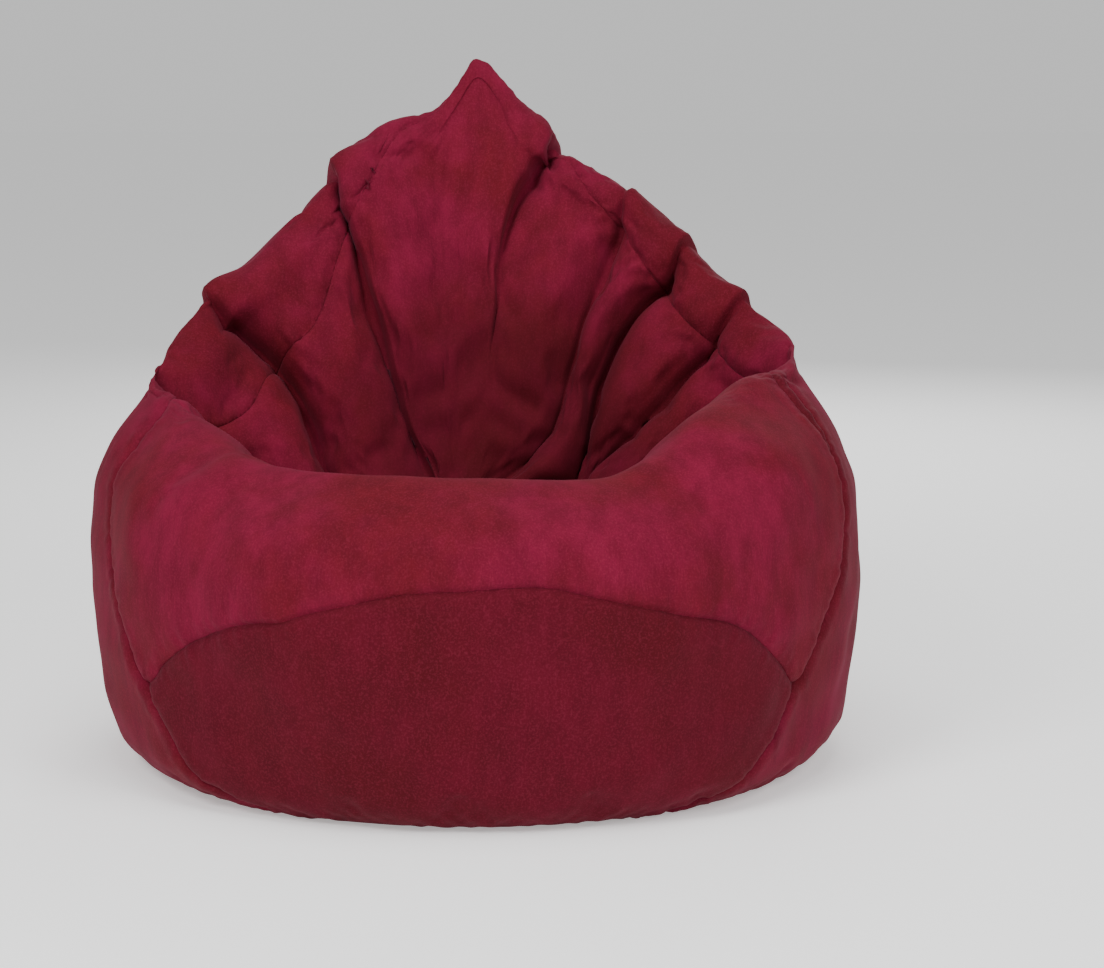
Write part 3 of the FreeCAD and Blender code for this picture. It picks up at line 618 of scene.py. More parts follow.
    def held(self, points: Grid) -> Grid:
        """How firmly the cloth is held: by the folds, the seams, the floor, the zip and the loop.

        Args:
            points: the bag's grid of points.

        Returns:
            For each point, from 0 where it is free to 1 where it can't move.
        """
        firm = np.zeros(points.shape[:2])
        folded = (self.share < self.fold_end).astype(float)[:, None]
        for _, away in self.folds(points):
            firm = np.maximum(firm, folded * np.exp(-(away / self.fold_hold) ** 2))
        crown = np.abs(Pattern().crown_field(self.share[:, None], self.azimuths(self.share)))
        firm = np.maximum(firm, self.crown_firmness * np.exp(-(crown / self.crown_hold) ** 2))
        firm = np.maximum(firm, smooth(self.share, *self.floor_hold)[:, None])
        aside, back, up = np.abs(points[..., 0]), points[..., 1], points[..., 2]
        zip_near = np.exp(-(aside / self.zip_hold) ** 4) * (back > self.rear)
        loop_near = (aside < self.loop_hold[0]) & (back > self.loop_hold[1]) & (up > self.loop_hold[2])
        firm = np.maximum(firm, np.maximum(zip_near, loop_near))
        return np.where(firm < 0.05, 0.0, firm)

    def settled(self, points: Grid) -> Grid:
        """Adds the cloth's small unevenness, which fades out near the zip and where the bag stands.

        Args:
            points: the bag's grid of points.

        Returns:
            The uneven grid of points.
        """
        normal = self.normals(points)
        calm = np.exp(-(np.abs(points[..., 0]) / 0.09) ** 4) * (points[..., 1] > self.rear)
        amount = (1 - calm) * smooth(points[..., 2], 0.0, 0.05)
        offset = sum(height * lumps(points, size, seed) for height, size, seed in self.unevenness)
        # Soft pulls that hang from the hood's rim down the outside.
        round_axis = np.arctan2(points[..., 1] - self.axis_y, points[..., 0]) * 0.40
        down = np.linspace(0.0, 1.0, len(points))
        outside = smooth(down, 0.53, 0.60)[:, None] * smooth(points[..., 2], 0.26, 0.55)
        pulls = wavy(round_axis + 0.05 * points[..., 2], self.pull_wave, 11)
        pulls = pulls * (1 - smooth(points[..., 2], 0.72, 0.80))
        offset = offset + self.pull_depth * pulls * outside * (points[..., 1] > -0.25)
        return points + normal * (offset * amount)[..., None]


def denser(values: Grid) -> Grid:
    """Doubles a grid's rows and columns with smooth curves through its points.

    Args:
        values: rows by columns, with more axes or not; columns go round.

    Returns:
        The finer grid.
    """
    before, after = np.roll(values, 1, axis=1), np.roll(values, -1, axis=1)
    beyond = np.roll(values, -2, axis=1)
    middle = (9.0 * (values + after) - before - beyond) / 16.0
    wide = np.stack([values, middle], axis=2).reshape(values.shape[0], -1, *values.shape[2:])
    padded = np.concatenate([wide[:1], wide, wide[-1:]])
    middle = (9.0 * (padded[1:-2] + padded[2:-1]) - padded[:-3] - padded[3:]) / 16.0
    tall = np.empty((2 * len(wide) - 1, *wide.shape[1:]))
    tall[0::2], tall[1::2] = wide, middle
    return tall


def wavy(length: Grid, wave: float, seed: int) -> Grid:
    """An uneven ripple along a length, about -1 to 1, of a chosen wavelength."""
    luck = np.random.default_rng(seed)
    total = np.zeros_like(length)
    for share in (0.7, 1.0, 1.43):
        total += np.sin(2 * math.pi * length / (wave * share) + luck.uniform(0, 2 * math.pi)
                        + 1.3 * np.sin(length / (wave * 3.1) + luck.uniform(0, 6)))
    return total / 3.0


def lumps(points: Grid, size: float, seed: int) -> Grid:
    """Smooth lumps over a grid of points, about -1 to 1, of a chosen size in metres."""
    luck = np.random.default_rng(seed)
    total = np.zeros(points.shape[:-1])
    for _ in range(14):
        way = luck.normal(size=3)
        way /= np.linalg.norm(way)
        total += np.sin(points @ way * 2 * math.pi / (size * luck.uniform(0.75, 1.5)) + luck.uniform(0, 6.28))
    return total / 3.8


def smooth_object(name: str, mesh: bpy.types.Mesh) -> bpy.types.Object:
    """Shades a mesh smooth and puts it into the scene."""
    mesh.polygons.foreach_set("use_smooth", [True] * len(mesh.polygons))
    mesh.update()
    made = bpy.data.objects.new(name, mesh)
    bpy.context.collection.objects.link(made)
    return made


def finished(name: str, work: bmesh.types.BMesh) -> bpy.types.Object:
    """Turns a mesh in work into an object of the scene."""
    mesh = bpy.data.meshes.new(name)
    work.to_mesh(mesh)
    work.free()
    return smooth_object(name, mesh)


def add_stitch(work: bmesh.types.BMesh, place: Matrix) -> None:
    """Adds one stitch, which runs along the place's own x."""
    shaped = place @ Matrix.Diagonal((*THREAD, 1.0))
    bmesh.ops.create_icosphere(work, subdivisions=1, radius=1.0, matrix=shaped)


def upholster(piece: bpy.types.Object, finish: bpy.types.Material, node: str) -> None:
    """Gives a soft piece of the bag its finish and its place in the frame.

    Args:
        piece: the piece.
        finish: its material.
        node: the CAD node that it replaces.
    """
    piece.data.materials.append(finish)
    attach(piece, BODY)
    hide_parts(node)
    log.info("%s: %d points", piece.name, len(piece.data.vertices))


def grid_mesh(name: str, points: Grid, extra: dict[str, Grid] | None = None) -> bpy.types.Object:
    """A closed mesh from a grid whose first and last rows are single points.

    Args:
        name: the object's name.
        points: rows by columns by three.
        extra: values to keep on the points, each a grid of the same rows and columns.

    Returns:
        The new object.
    """
    rows, columns = points.shape[:2]
    vertices = np.concatenate([points[:1, 0], points[1:-1].reshape(-1, 3), points[-1:, 0]])
    inner = 1 + np.arange((rows - 2) * columns).reshape(rows - 2, columns)
    right = np.roll(inner, -1, axis=1)
    quads = np.stack([inner[:-1], inner[1:], right[1:], right[:-1]], axis=2).reshape(-1, 4)
    first = np.stack([np.zeros(columns, int), inner[0], right[0]], axis=1)
    last = np.stack([np.full(columns, len(vertices) - 1), right[-1], inner[-1]], axis=1)
    mesh = bpy.data.meshes.new(name)
    mesh.from_pydata(vertices.tolist(), [], quads.tolist() + first.tolist() + last.tolist())
    for key, grid in (extra or {}).items():
        kept = np.concatenate([grid[:1, 0], grid[1:-1].reshape(-1), grid[-1:, 0]])
        mesh.attributes.new(key, "FLOAT", "POINT").data.foreach_set("value", kept.astype(np.float32))
    return smooth_object(name, mesh)


def coordinates(mesh: bpy.types.Mesh) -> Grid:
    """The places of a mesh's points."""
    flat = np.empty(len(mesh.vertices) * 3)
    mesh.vertices.foreach_get("co", flat)
    return flat.reshape(-1, 3)


@dataclass
class Stuffing:
    """The push of the beads on the cloth, which fills it out between its folds and seams."""

    pressure: float = 3.0
    frames: int = 16
    most: float = 0.007
    stretch: float = 0.012
    stiffness: float = 0.25
    levels: int = 10

    def swell(self, points: Grid, held: Grid) -> Grid:
        """Lets the cloth swell under pressure.

        Args:
            points: the bag's grid of points.
            held: how firmly each point is held, 0 to 1.

        Returns:
            The grid of points after swelling.
        """
        whole, points, held = points, points[::2, ::2], held[::2, ::2]
        shell = grid_mesh("stuffing", points, {"held": held})
        group = shell.vertex_groups.new(name="held")
        firmness = np.empty(len(shell.data.vertices), np.float32)
        shell.data.attributes["held"].data.foreach_get("value", firmness)
        for level in range(1, self.levels + 1):
            chosen = np.nonzero(np.ceil(firmness * self.levels) == level)[0]
            group.add(chosen.tolist(), level / self.levels, "REPLACE")
        cloth = shell.modifiers.new("cloth", "CLOTH")
        cloth.settings.vertex_group_mass = "held"
        cloth.settings.quality = 4
        cloth.settings.mass = 0.3
        cloth.settings.use_pressure = True
        cloth.settings.uniform_pressure_force = self.pressure
        cloth.settings.effector_weights.gravity = 0.0
        cloth.settings.shrink_min = -self.stretch
        cloth.settings.bending_stiffness = self.stiffness
        cloth.collision_settings.use_collision = False
        for step in range(1, self.frames + 1):
            bpy.context.scene.frame_set(step)
        seen = shell.evaluated_get(bpy.context.evaluated_depsgraph_get())
        swollen = coordinates(seen.data)
        rest = coordinates(shell.data)
        bpy.data.objects.remove(shell)
        bpy.context.scene.frame_set(1)
        moved = swollen - rest
        size = np.linalg.norm(moved, axis=1, keepdims=True)
        moved *= np.tanh(size / self.most) * self.most / np.maximum(size, 1e-9)
        log.info("stuffing: moved up to %.1f mm", 1000.0 * float(np.linalg.norm(moved, axis=1).max()))
        rows, columns = points.shape[:2]
        inner = moved[1:-1].reshape(rows - 2, columns, 3)
        first, last = (np.repeat(end[:, None], columns, axis=1) for end in (moved[:1], moved[-1:]))
        return whole + denser(np.concatenate([first, inner, last]))


class Panel(Enum):
    """The cut pieces of cloth that the bag is sewn from."""

    FRONT = "front_panel"
    APRON = "apron_panel"
    BASE = "base_panel"
    REAR_LEFT = "rear_panel_left"
    REAR_RIGHT = "rear_panel_right"


class Seam(Enum):
    """The seams, in the order in which they are cut, and the opening over the zip."""

    CROWN = 1
    FOOT = 2
    FLOOR = 3
    BACK = 4
    SLOT = 5


# The panel that each seam cuts off from the cloth that is left.
CUT_OFF: dict[Seam, Panel] = {Seam.CROWN: Panel.FRONT, Seam.FOOT: Panel.APRON, Seam.FLOOR: Panel.BASE}


@dataclass
class Pattern:
    """Where the seams run over the bag."""

    crown: tuple[tuple[float, float], ...] = (
        (-90.0, 1.405), (-75.0, 1.400), (-65.0, 1.464), (-55.0, 1.570), (-46.0, 1.660), (-38.0, 1.735),
        (-31.5, 1.785), (-26.3, 1.821), (-20.0, 1.75), (-14.0, 1.62), (-8.5, 1.42), (-5.5, 1.22),
        (-2.0, 1.05), (4.0, 0.93), (12.0, 0.85), (20.0, 0.81), (27.0, 0.79), (35.0, 0.78), (43.6, 0.75),
        (55.0, 0.77), (64.0, 0.84), (71.0, 0.94), (78.0, 1.04), (90.0, 1.06), (97.0, 1.02), (102.0, 0.95),
        (108.0, 0.90), (114.0, 0.83), (124.7, 0.70), (133.0, 0.66), (142.0, 0.67), (153.0, 0.68),
        (160.0, 0.73), (168.0, 0.82), (176.0, 0.92), (182.0, 1.05), (185.5, 1.22), (188.5, 1.42),
        (194.0, 1.62), (200.0, 1.75), (206.3, 1.821), (211.5, 1.785), (218.0, 1.745), (226.0, 1.695),
        (235.0, 1.61), (245.0, 1.51), (256.0, 1.43))
    tip: tuple[float, float] = (-0.268, 0.140)
    toe: tuple[float, float] = (-0.345, 0.000)
    floor_share: float = 2.255
    zip_centre: tuple[float, float] = (-0.375, 0.215)
    zip_radius: float = 0.850
    zip_span: tuple[float, float] = (-1.5, 25.5)
    slot_half: float = 0.0075

    def crown_field(self, share: Grid, azimuth: Grid) -> Grid:
        """Below 0 on the seat and over the rim's inside, above 0 outside the seam round the crown."""
        at, value = (np.array(column) for column in zip(*self.crown))
        return share - ring_spline(at, value, azimuth)

    def foot_field(self, points: Grid) -> Grid:
        """Metres behind the seam at the foot of the apron."""
        run = np.array(self.toe) - np.array(self.tip)
        run /= np.linalg.norm(run)
        return (points[..., 1] - self.tip[0]) * -run[1] + (points[..., 2] - self.tip[1]) * run[0]

    def slot_field(self, points: Grid) -> Grid:
        """Metres outside the opening over the zip, below 0 in it."""
        rise = points[..., 2] - self.zip_centre[1]
        turned = np.degrees(np.arctan2(rise, points[..., 1] - self.zip_centre[0]))
        middle, half = (self.zip_span[0] + self.zip_span[1]) / 2, (self.zip_span[1] - self.zip_span[0]) / 2
        along = (np.abs(turned - middle) - half) * math.radians(1.0) * self.zip_radius
        outside = np.maximum(np.abs(points[..., 0]) - self.slot_half, along)
        return np.where(points[..., 1] > 0, outside, 1.0)

    def value(self, seam: Seam, points: Grid, share: Grid, azimuth: Grid) -> Grid:
        """Reads the field of a seam, which is 0 on it and below 0 on the piece that it cuts off.

        Args:
            seam: the seam.
            points: the places to read.
            share: each point's share of the way from the pan to the rim.
            azimuth: each point's azimuth.

        Returns:
            The field's values.
        """
        match seam:
            case Seam.CROWN:
                return self.crown_field(share, azimuth)
            case Seam.FOOT:
                return self.foot_field(points)
            case Seam.FLOOR:
                return self.floor_share - share
            case Seam.BACK:
                return np.where(points[:, 1] > 0.0, points[:, 0], 1.0)
        return self.slot_field(points)


@dataclass
class Tailor:
    """Cuts a closed skin into panels along its seams and sews the seams in."""

    pattern: Pattern = field(default_factory=Pattern)
    groove: float = 0.0030
    groove_width: float = 0.0034
    pucker: float = 0.0011
    pucker_wave: float = 0.022
    pucker_place: tuple[float, float] = (0.010, 0.012)   # how far from the seam, and how wide
    roll: float = 0.0012
    roll_place: tuple[float, float] = (0.013, 0.008)
    reach: float = 0.05
    turn_in: float = 0.008
    snap: float = 0.12

    def _cut(self, work: bmesh.types.BMesh, values: dict[int, float], faces: list[Any],
              seam: Seam, marks: Any, layers: Sequence[Any]) -> None:
        """Splits faces where a value on their points passes 0.

        Args:
            work: the mesh in work; not used.
            values: the value at each point, by the point's number.
            faces: the faces to cut.
            seam: the seam to mark on the points of the cut.
            marks: the layer that keeps the seam's number on each point.
            layers: the other layers to carry over to new points.
        """
        edges = dict.fromkeys(edge for face in faces for edge in face.edges)
        for edge in edges:
            one, two = edge.verts
            first, second = values[one.index], values[two.index]
            if first * second < 0.0:
                near = min((abs(first), one), (abs(second), two), key=lambda pair: pair[0])
                if near[0] < self.snap * abs(first - second):
                    values[near[1].index] = 0.0
        for edge in edges:
            one, two = edge.verts
            first, second = values[one.index], values[two.index]
            if first * second >= 0.0:
                continue
            share = first / (first - second)
            kept = [one[layer] + (two[layer] - one[layer]) * share for layer in layers]
            place = one.co.lerp(two.co, share)
            _, made = bmesh.utils.edge_split(edge, one, share)
            made.co = place
            made.index = len(values)
            values[made.index] = 0.0
            for layer, value in zip(layers, kept):
                made[layer] = value
        for face in faces:
            signs = {values[v.index] > 0 for v in face.verts if values[v.index] != 0.0}
            on = [v for v in face.verts if values[v.index] == 0.0]
            if len(signs) == 2 and len(on) >= 2:
                for one, two in ((a, b) for a in on for b in on if a is not b):
                    if not any(set(edge.verts) == {one, two} for edge in face.edges):
                        bmesh.utils.face_split(face, one, two)
                        break
            for vertex in on:
                vertex[marks] = seam.value

    def cut(self, shell: bpy.types.Object, finest: bool = True,
            prefix: str = "") -> dict[Panel, bpy.types.Object]:
        """Cuts the skin into its panels.

        Args:
            shell: the whole skin, with each point's share and azimuth on it.
            finest: whether the seams are also pressed in and puckered.
            prefix: what the panels' names begin with.

        Returns:
            The object of each panel.
        """
        work = bmesh.new()
        work.from_mesh(shell.data)
        bpy.data.objects.remove(shell)
        marks = work.verts.layers.int.new("seam")
        layers = [work.verts.layers.float[key] for key in ("share", "azimuth")]
        parts: dict[Panel, list[Any]] = {}
        left, taken = list(work.faces), set()
        for seam in Seam:
            work.verts.index_update()
            points = np.array([v.co[:] for v in work.verts])
            share, azimuth = (np.array([v[layer] for v in work.verts]) for layer in layers)
            values = dict(enumerate(self.pattern.value(seam, points, share, azimuth).tolist()))
            crossed = [face for face in left if self._crosses(values, face)]
            self._cut(work, values, crossed, seam, marks, layers)
            left = [face for face in work.faces if face not in taken]
            if seam is not Seam.BACK:
                below = [face for face in left if sum(values[v.index] for v in face.verts) <= 0.0]
                taken.update(below)
                left = [face for face in left if face not in taken]
                if seam in CUT_OFF:
                    parts[CUT_OFF[seam]] = below
        parts[Panel.REAR_LEFT] = [face for face in left if face.calc_center_median().x < 0.0]
        parts[Panel.REAR_RIGHT] = [face for face in left if face.calc_center_median().x >= 0.0]
        work.verts.index_update()
        work.normal_update()
        points = np.array([v.co[:] for v in work.verts])
        normals = np.array([v.normal[:] for v in work.verts])
        seams = np.array([v[marks] for v in work.verts])
        azimuth = np.array([v[layers[1]] for v in work.verts])
        # A point on the middle line of the zip's opening is no seam, because it is cut away.
        cut_away, kept = ({v.index for face in faces for v in face.verts} for faces in (below, left))
        seams[list(cut_away - kept)] = 0
        if finest:
            points = self._sew(points, normals, seams, azimuth)
        made = {panel: self._panel(prefix + panel.value, faces, points, normals)
                for panel, faces in parts.items()}
        work.free()
        return made

    @staticmethod
    def _crosses(values: dict[int, float], face: Any) -> bool:
        """Whether a field's 0 passes through a face."""
        found = [values[v.index] for v in face.verts]
        return min(found) < 0.0 < max(found)

    def _sew(self, points: Grid, normals: Grid, seams: Grid, azimuth: Grid) -> Grid:
        """Presses the seams in and puckers the cloth beside them.

        Args:
            points: every point of the cut skin.
            normals: their normals.
            seams: the number of the seam that each point is on, or 0.
            azimuth: their azimuths.

        Returns:
            The moved points.
        """
        moved = points.copy()
        order = {Seam.CROWN: azimuth, Seam.FOOT: points[:, 0], Seam.FLOOR: azimuth, Seam.BACK: points[:, 2]}
        for seam, key in order.items():
            on = np.nonzero(seams == seam.value)[0]
            if not len(on):
                continue
            on = on[np.argsort(key[on])]
            line = points[on]
            steps = np.minimum(np.linalg.norm(np.diff(line, axis=0), axis=1), 0.03)
            length = np.concatenate([[0.0], np.cumsum(steps)])
            tree = KDTree(len(line))
            for number, place in enumerate(line):
                tree.insert(place, number)
            tree.balance()
            low, high = line.min(axis=0) - 0.04, line.max(axis=0) + 0.04
            near = np.nonzero(np.all((points > low) & (points < high), axis=1))[0]
            found = [tree.find(points[n])[1:] for n in near]
            where, away = (np.array([item[n] for item in found]) for n in (0, 1))
            close = away < self.reach
            near, where, away = near[close], where[close], away[close]
            sunk = 1.0 - 0.55 * smooth(points[near, 2], 0.36, 0.46)
            depth = -self.groove * sunk * np.exp(-(away / self.groove_width) ** 2)
            roll = self.roll * np.exp(-((away - self.roll_place[0]) / self.roll_place[1]) ** 2)
            ruffle = self.pucker * wavy(length[where], self.pucker_wave, seam.value)
            ruffle = ruffle * np.exp(-((away - self.pucker_place[0]) / self.pucker_place[1]) ** 2)
            if seam is Seam.FLOOR:
                depth, ruffle = 0.5 * depth, 0.3 * ruffle
            moved[near] += normals[near] * (depth + roll + ruffle)[:, None]
        return moved

    def _panel(self, name: str, faces: list[Any], points: Grid, normals: Grid) -> bpy.types.Object:
        """Makes one panel, with its edges turned in.

        Args:
            name: the panel's name.
            faces: its faces in the cut skin.
            points: the places of the skin's points.
            normals: their normals.

        Returns:
            The panel.
        """
        used = sorted({v.index for face in faces for v in face.verts})
        number = {old: new for new, old in enumerate(used)}
        polygons = [[number[v.index] for v in face.verts] for face in faces]
        mesh = bpy.data.meshes.new(name)
        mesh.from_pydata(points[used].tolist(), [], polygons)
        mesh.update()
        work = bmesh.new()
        work.from_mesh(mesh)
        outward = normals[used]
        work.verts.index_update()
        grown = bmesh.ops.extrude_edge_only(work, edges=[edge for edge in work.edges if edge.is_boundary])
        fresh = [item for item in grown["geom"] if isinstance(item, bmesh.types.BMVert)]
        for vertex in fresh:
            partner = min((edge.other_vert(vertex) for edge in vertex.link_edges),
                          key=lambda other: (other.co - vertex.co).length)
            vertex.co = partner.co - Vector(outward[partner.index]) * self.turn_in
        work.to_mesh(mesh)
        work.free()
        return smooth_object(name + "_cloth", mesh)


@dataclass
class Cover:
    """The sewn suede cover of the bag."""

    form: BagForm = field(default_factory=BagForm)
    stuffing: Stuffing = field(default_factory=Stuffing)
    tailor: Tailor = field(default_factory=Tailor)
    # Painted shade: the apron and base, which face the floor, are painted about a third darker; the front
    # panel gets painted shade in the seat's hollow.
    finishes: dict[Panel, SuedeFinish] = field(default_factory=lambda: {
        Panel.FRONT: SuedeFinish("suede_front", seat_shade=0.55),
        Panel.APRON: SuedeFinish("suede_apron", panel_shade=0.66, rose=(0.152, 0.0072, 0.022)),
        Panel.BASE: SuedeFinish("suede_base", panel_shade=0.66),
        Panel.REAR_LEFT: SuedeFinish("suede_rear_left", panel_shade=0.94),
        Panel.REAR_RIGHT: SuedeFinish("suede_rear_right", panel_shade=0.90)})

    def build(self) -> None:
        """Makes the cover's five panels."""
        points = self.form.folded()
        azimuth = self.form.azimuths(self.form.share)
        share = np.repeat(self.form.share[:, None], points.shape[1], axis=1)
        points = self.form.settled(denser(self.stuffing.swell(points, self.form.held(points))))
        azimuth, share = self.form.denser_azimuths(azimuth), denser(share)
        shell = grid_mesh("cover", points, {"share": share, "azimuth": azimuth})
        for panel, piece in self.tailor.cut(shell).items():
            upholster(piece, self.finishes[panel].make(), panel.value)


@dataclass
class Lining:
    """The liner that holds the beads, and the beads."""

    form: BagForm = field(default_factory=BagForm)
    inset: float = 0.016
    bead_inset: float = 0.023
    bridge: float = 0.22
    hood_bridge: float = 0.50

    def _bridged(self, points: Grid) -> Grid:
        """Goes straight across under the rim, where a skin set in from both sides would cross itself.

        Args:
            points: the grid of points of an inner skin.

        Returns:
            The bridged grid, with a longer bridge under the hood than under the roll.
        """
        rows = self.form.share
        rim = points[np.searchsorted(rows, 1.0), :, 2]
        high = smooth(rim, 0.52, 0.68)[None, :, None]
        versions = []
        for bridge in (self.bridge, self.hood_bridge):
            start, end = np.searchsorted(rows, 1.0 - bridge), np.searchsorted(rows, 1.0 + bridge)
            across = ((rows[start:end] - rows[start]) / (rows[end] - rows[start]))[:, None, None]
            bridged = points.copy()
            bridged[start:end] = points[start] * (1 - across) + points[end] * across
            versions.append(bridged)
        return versions[0] * (1 - high) + versions[1] * high

    def build(self) -> None:
        """Makes the liner's panels and the mass of beads inside it."""
        points = self.form.folded(spread=1.9, lifted=False)
        normals = self.form.normals(self.form.grid())
        azimuth = self.form.azimuths(self.form.share)
        share = np.repeat(self.form.share[:, None], points.shape[1], axis=1)
        inner = self._bridged(points - normals * self.inset)
        shell = grid_mesh("liner", inner, {"share": share, "azimuth": azimuth})
        finish = WovenFinish("liner_cloth", (0.70, 0.70, 0.68), (0.45, 0.45, 0.44), 0.0012).make()
        for panel, piece in Tailor(turn_in=0.004).cut(shell, False, "liner_").items():
            upholster(piece, finish, "liner_" + panel.value)
        beads = grid_mesh("bead_mass", self._bridged(points - normals * self.bead_inset))
        upholster(beads, BeadFinish().make(), "bead_fill")


@dataclass(frozen=True)
class WovenFinish:
    """A plain woven cloth, such as the liner's."""

    name: str
    thread: Point
    gap: Point
    pitch: float = 0.0009
    roughness: float = 0.85

    def make(self) -> bpy.types.Material:
        """Builds the material."""
        tree = MaterialTree(self.name)
        at = tree.place()
        turns = 2 * math.pi / self.pitch
        x, y, z = (tree.node("ShaderNodeSeparateXYZ", {}, at, out=axis) for axis in "XYZ")
        across = ((x + y) * turns).sine() * 0.5 + 0.5
        along = (z * turns).sine() * 0.5 + 0.5
        weave = across * along + (1.0 - across) * (1.0 - along)
        worn = tree.noise(at, 30.0, 3.0).between(0.3, 0.7)
        colour = tree.mix(weave * 0.6 + worn * 0.3, self.gap, self.thread)
        normal = tree.node("ShaderNodeBump", {}, Strength=0.4, Distance=0.0003, Height=weave)
        return tree.finish({"Specular IOR Level": 0.3}, Base_Color=colour,
                           Roughness=self.roughness + worn * 0.1, Normal=normal)


@dataclass(frozen=True)
class WebbingFinish:
    """Ribbed webbing: diagonal ribs of thick thread with darker gaps and fuzzy wear."""

    name: str
    thread: Point = (0.150, 0.010, 0.026)
    gap: Point = (0.045, 0.003, 0.008)
    rib: float = 0.0022

    def make(self) -> bpy.types.Material:
        """Builds the material."""
        tree = MaterialTree(self.name)
        at = tree.place()
        turns = 2 * math.pi / self.rib
        x, z = (tree.node("ShaderNodeSeparateXYZ", {}, at, out=axis) for axis in "XZ")
        straight = (x * turns).sine() * 0.5 + 0.5
        diagonal = ((x * 0.8 + z) * turns * 1.6).sine() * 0.5 + 0.5
        ribs = straight * 0.5 + diagonal * 0.5
        fuzz = tree.noise(at, 350.0, 3.0).between(0.35, 0.7)
        colour = tree.mix(ribs * 0.75 + fuzz * 0.2, self.gap, self.thread)
        normal = tree.node("ShaderNodeBump", {}, Strength=0.6, Distance=0.0005, Height=ribs + fuzz * 0.2)
        return tree.finish({"Specular IOR Level": 0.3, "Sheen Weight": 0.1}, Base_Color=colour,
                           Roughness=0.75 + fuzz * 0.15, Normal=normal)


@dataclass(frozen=True)
class MouldedFinish:
    """Moulded plastic or plated metal with fine scratches and a little handling wear."""

    name: str
    colour: Point
    worn: Point
    metallic: float = 0.0
    roughness: float = 0.35

    def make(self) -> bpy.types.Material:
        """Builds the material."""
        tree = MaterialTree(self.name)
        scratched = tree.noise(tree.place((1.0, 1.0, 0.15)), 900.0, 4.0, 0.7)
        rubbed = tree.noise(tree.place(), 120.0, 3.0).between(0.45, 0.75)
        colour = tree.mix(rubbed * 0.5, self.colour, self.worn)
        normal = tree.node("ShaderNodeBump", {}, Strength=0.15, Distance=0.0001, Height=scratched)
        return tree.finish({"Metallic": self.metallic}, Base_Color=colour,
                           Roughness=self.roughness + scratched * 0.2, Normal=normal)


@dataclass(frozen=True)
class BeadFinish:
    """A mass of small white foam beads."""

    name: str = "foam_beads"
    size: float = 0.004

    def make(self) -> bpy.types.Material:
        """Builds the material."""
        tree = MaterialTree(self.name)
        cells = tree.node("ShaderNodeTexVoronoi", {"feature": "F1"}, tree.place(), Scale=1.0 / self.size,
                          out="Distance")
        # Painted shade between the beads: each bead's colour darkens from its bright middle to a grey edge.
        round_bead = 1.0 - cells.between(0.1, 0.75)
        colour = tree.mix(round_bead, (0.45, 0.45, 0.44), (0.86, 0.86, 0.84))
        normal = tree.node("ShaderNodeBump", {}, Strength=0.9, Distance=0.002, Height=round_bead)
        return tree.finish({"Specular IOR Level": 0.3}, Base_Color=colour, Roughness=0.6 + cells * 0.2,
                           Normal=normal)


@dataclass
class Fastenings:
    """The zips of the cover and the liner, dressed in tape, plastic and metal."""

    tapes: tuple[str, ...] = ("zip_tape_left", "zip_tape_right")
    teeth: tuple[str, ...] = ("zip_teeth_left", "zip_teeth_right")
    metal: tuple[str, ...] = ("zip_bottom_stop", "zip_top_stops", "zip_slider", "zip_pull")

    def dress(self, nodes: Iterable[str], finish: bpy.types.Material) -> None:
        """Gives CAD nodes a finish."""
        for name in nodes:
            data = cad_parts[name].data
            data.materials.clear()
            data.materials.append(finish)
            log.info("%s: %s", name, finish.name)

    def build(self) -> None:
        """Dresses every node of both zips."""
        tape = WovenFinish("zip_tape_cloth", (0.105, 0.008, 0.018), (0.030, 0.003, 0.006), 0.0008)
        self.dress(self.tapes, tape.make())
        self.dress(self.teeth, MouldedFinish("zip_plastic", (0.075, 0.006, 0.014), (0.13, 0.02, 0.03)).make())
        plated = MouldedFinish("slider_metal", (0.20, 0.19, 0.19), (0.42, 0.40, 0.38), 1.0, 0.28)
        self.dress(self.metal, plated.make())
        pale = WovenFinish("liner_tape_cloth", (0.62, 0.62, 0.60), (0.35, 0.35, 0.34), 0.0008)
        self.dress(("liner_" + name for name in self.tapes), pale.make())
        nylon = MouldedFinish("liner_zip_plastic", (0.66, 0.66, 0.64), (0.50, 0.50, 0.49))
        rest = self.teeth + ("zip_bottom_stop", "zip_top_stops", "zip_slider")
        self.dress(("liner_" + name for name in rest), nylon.make())


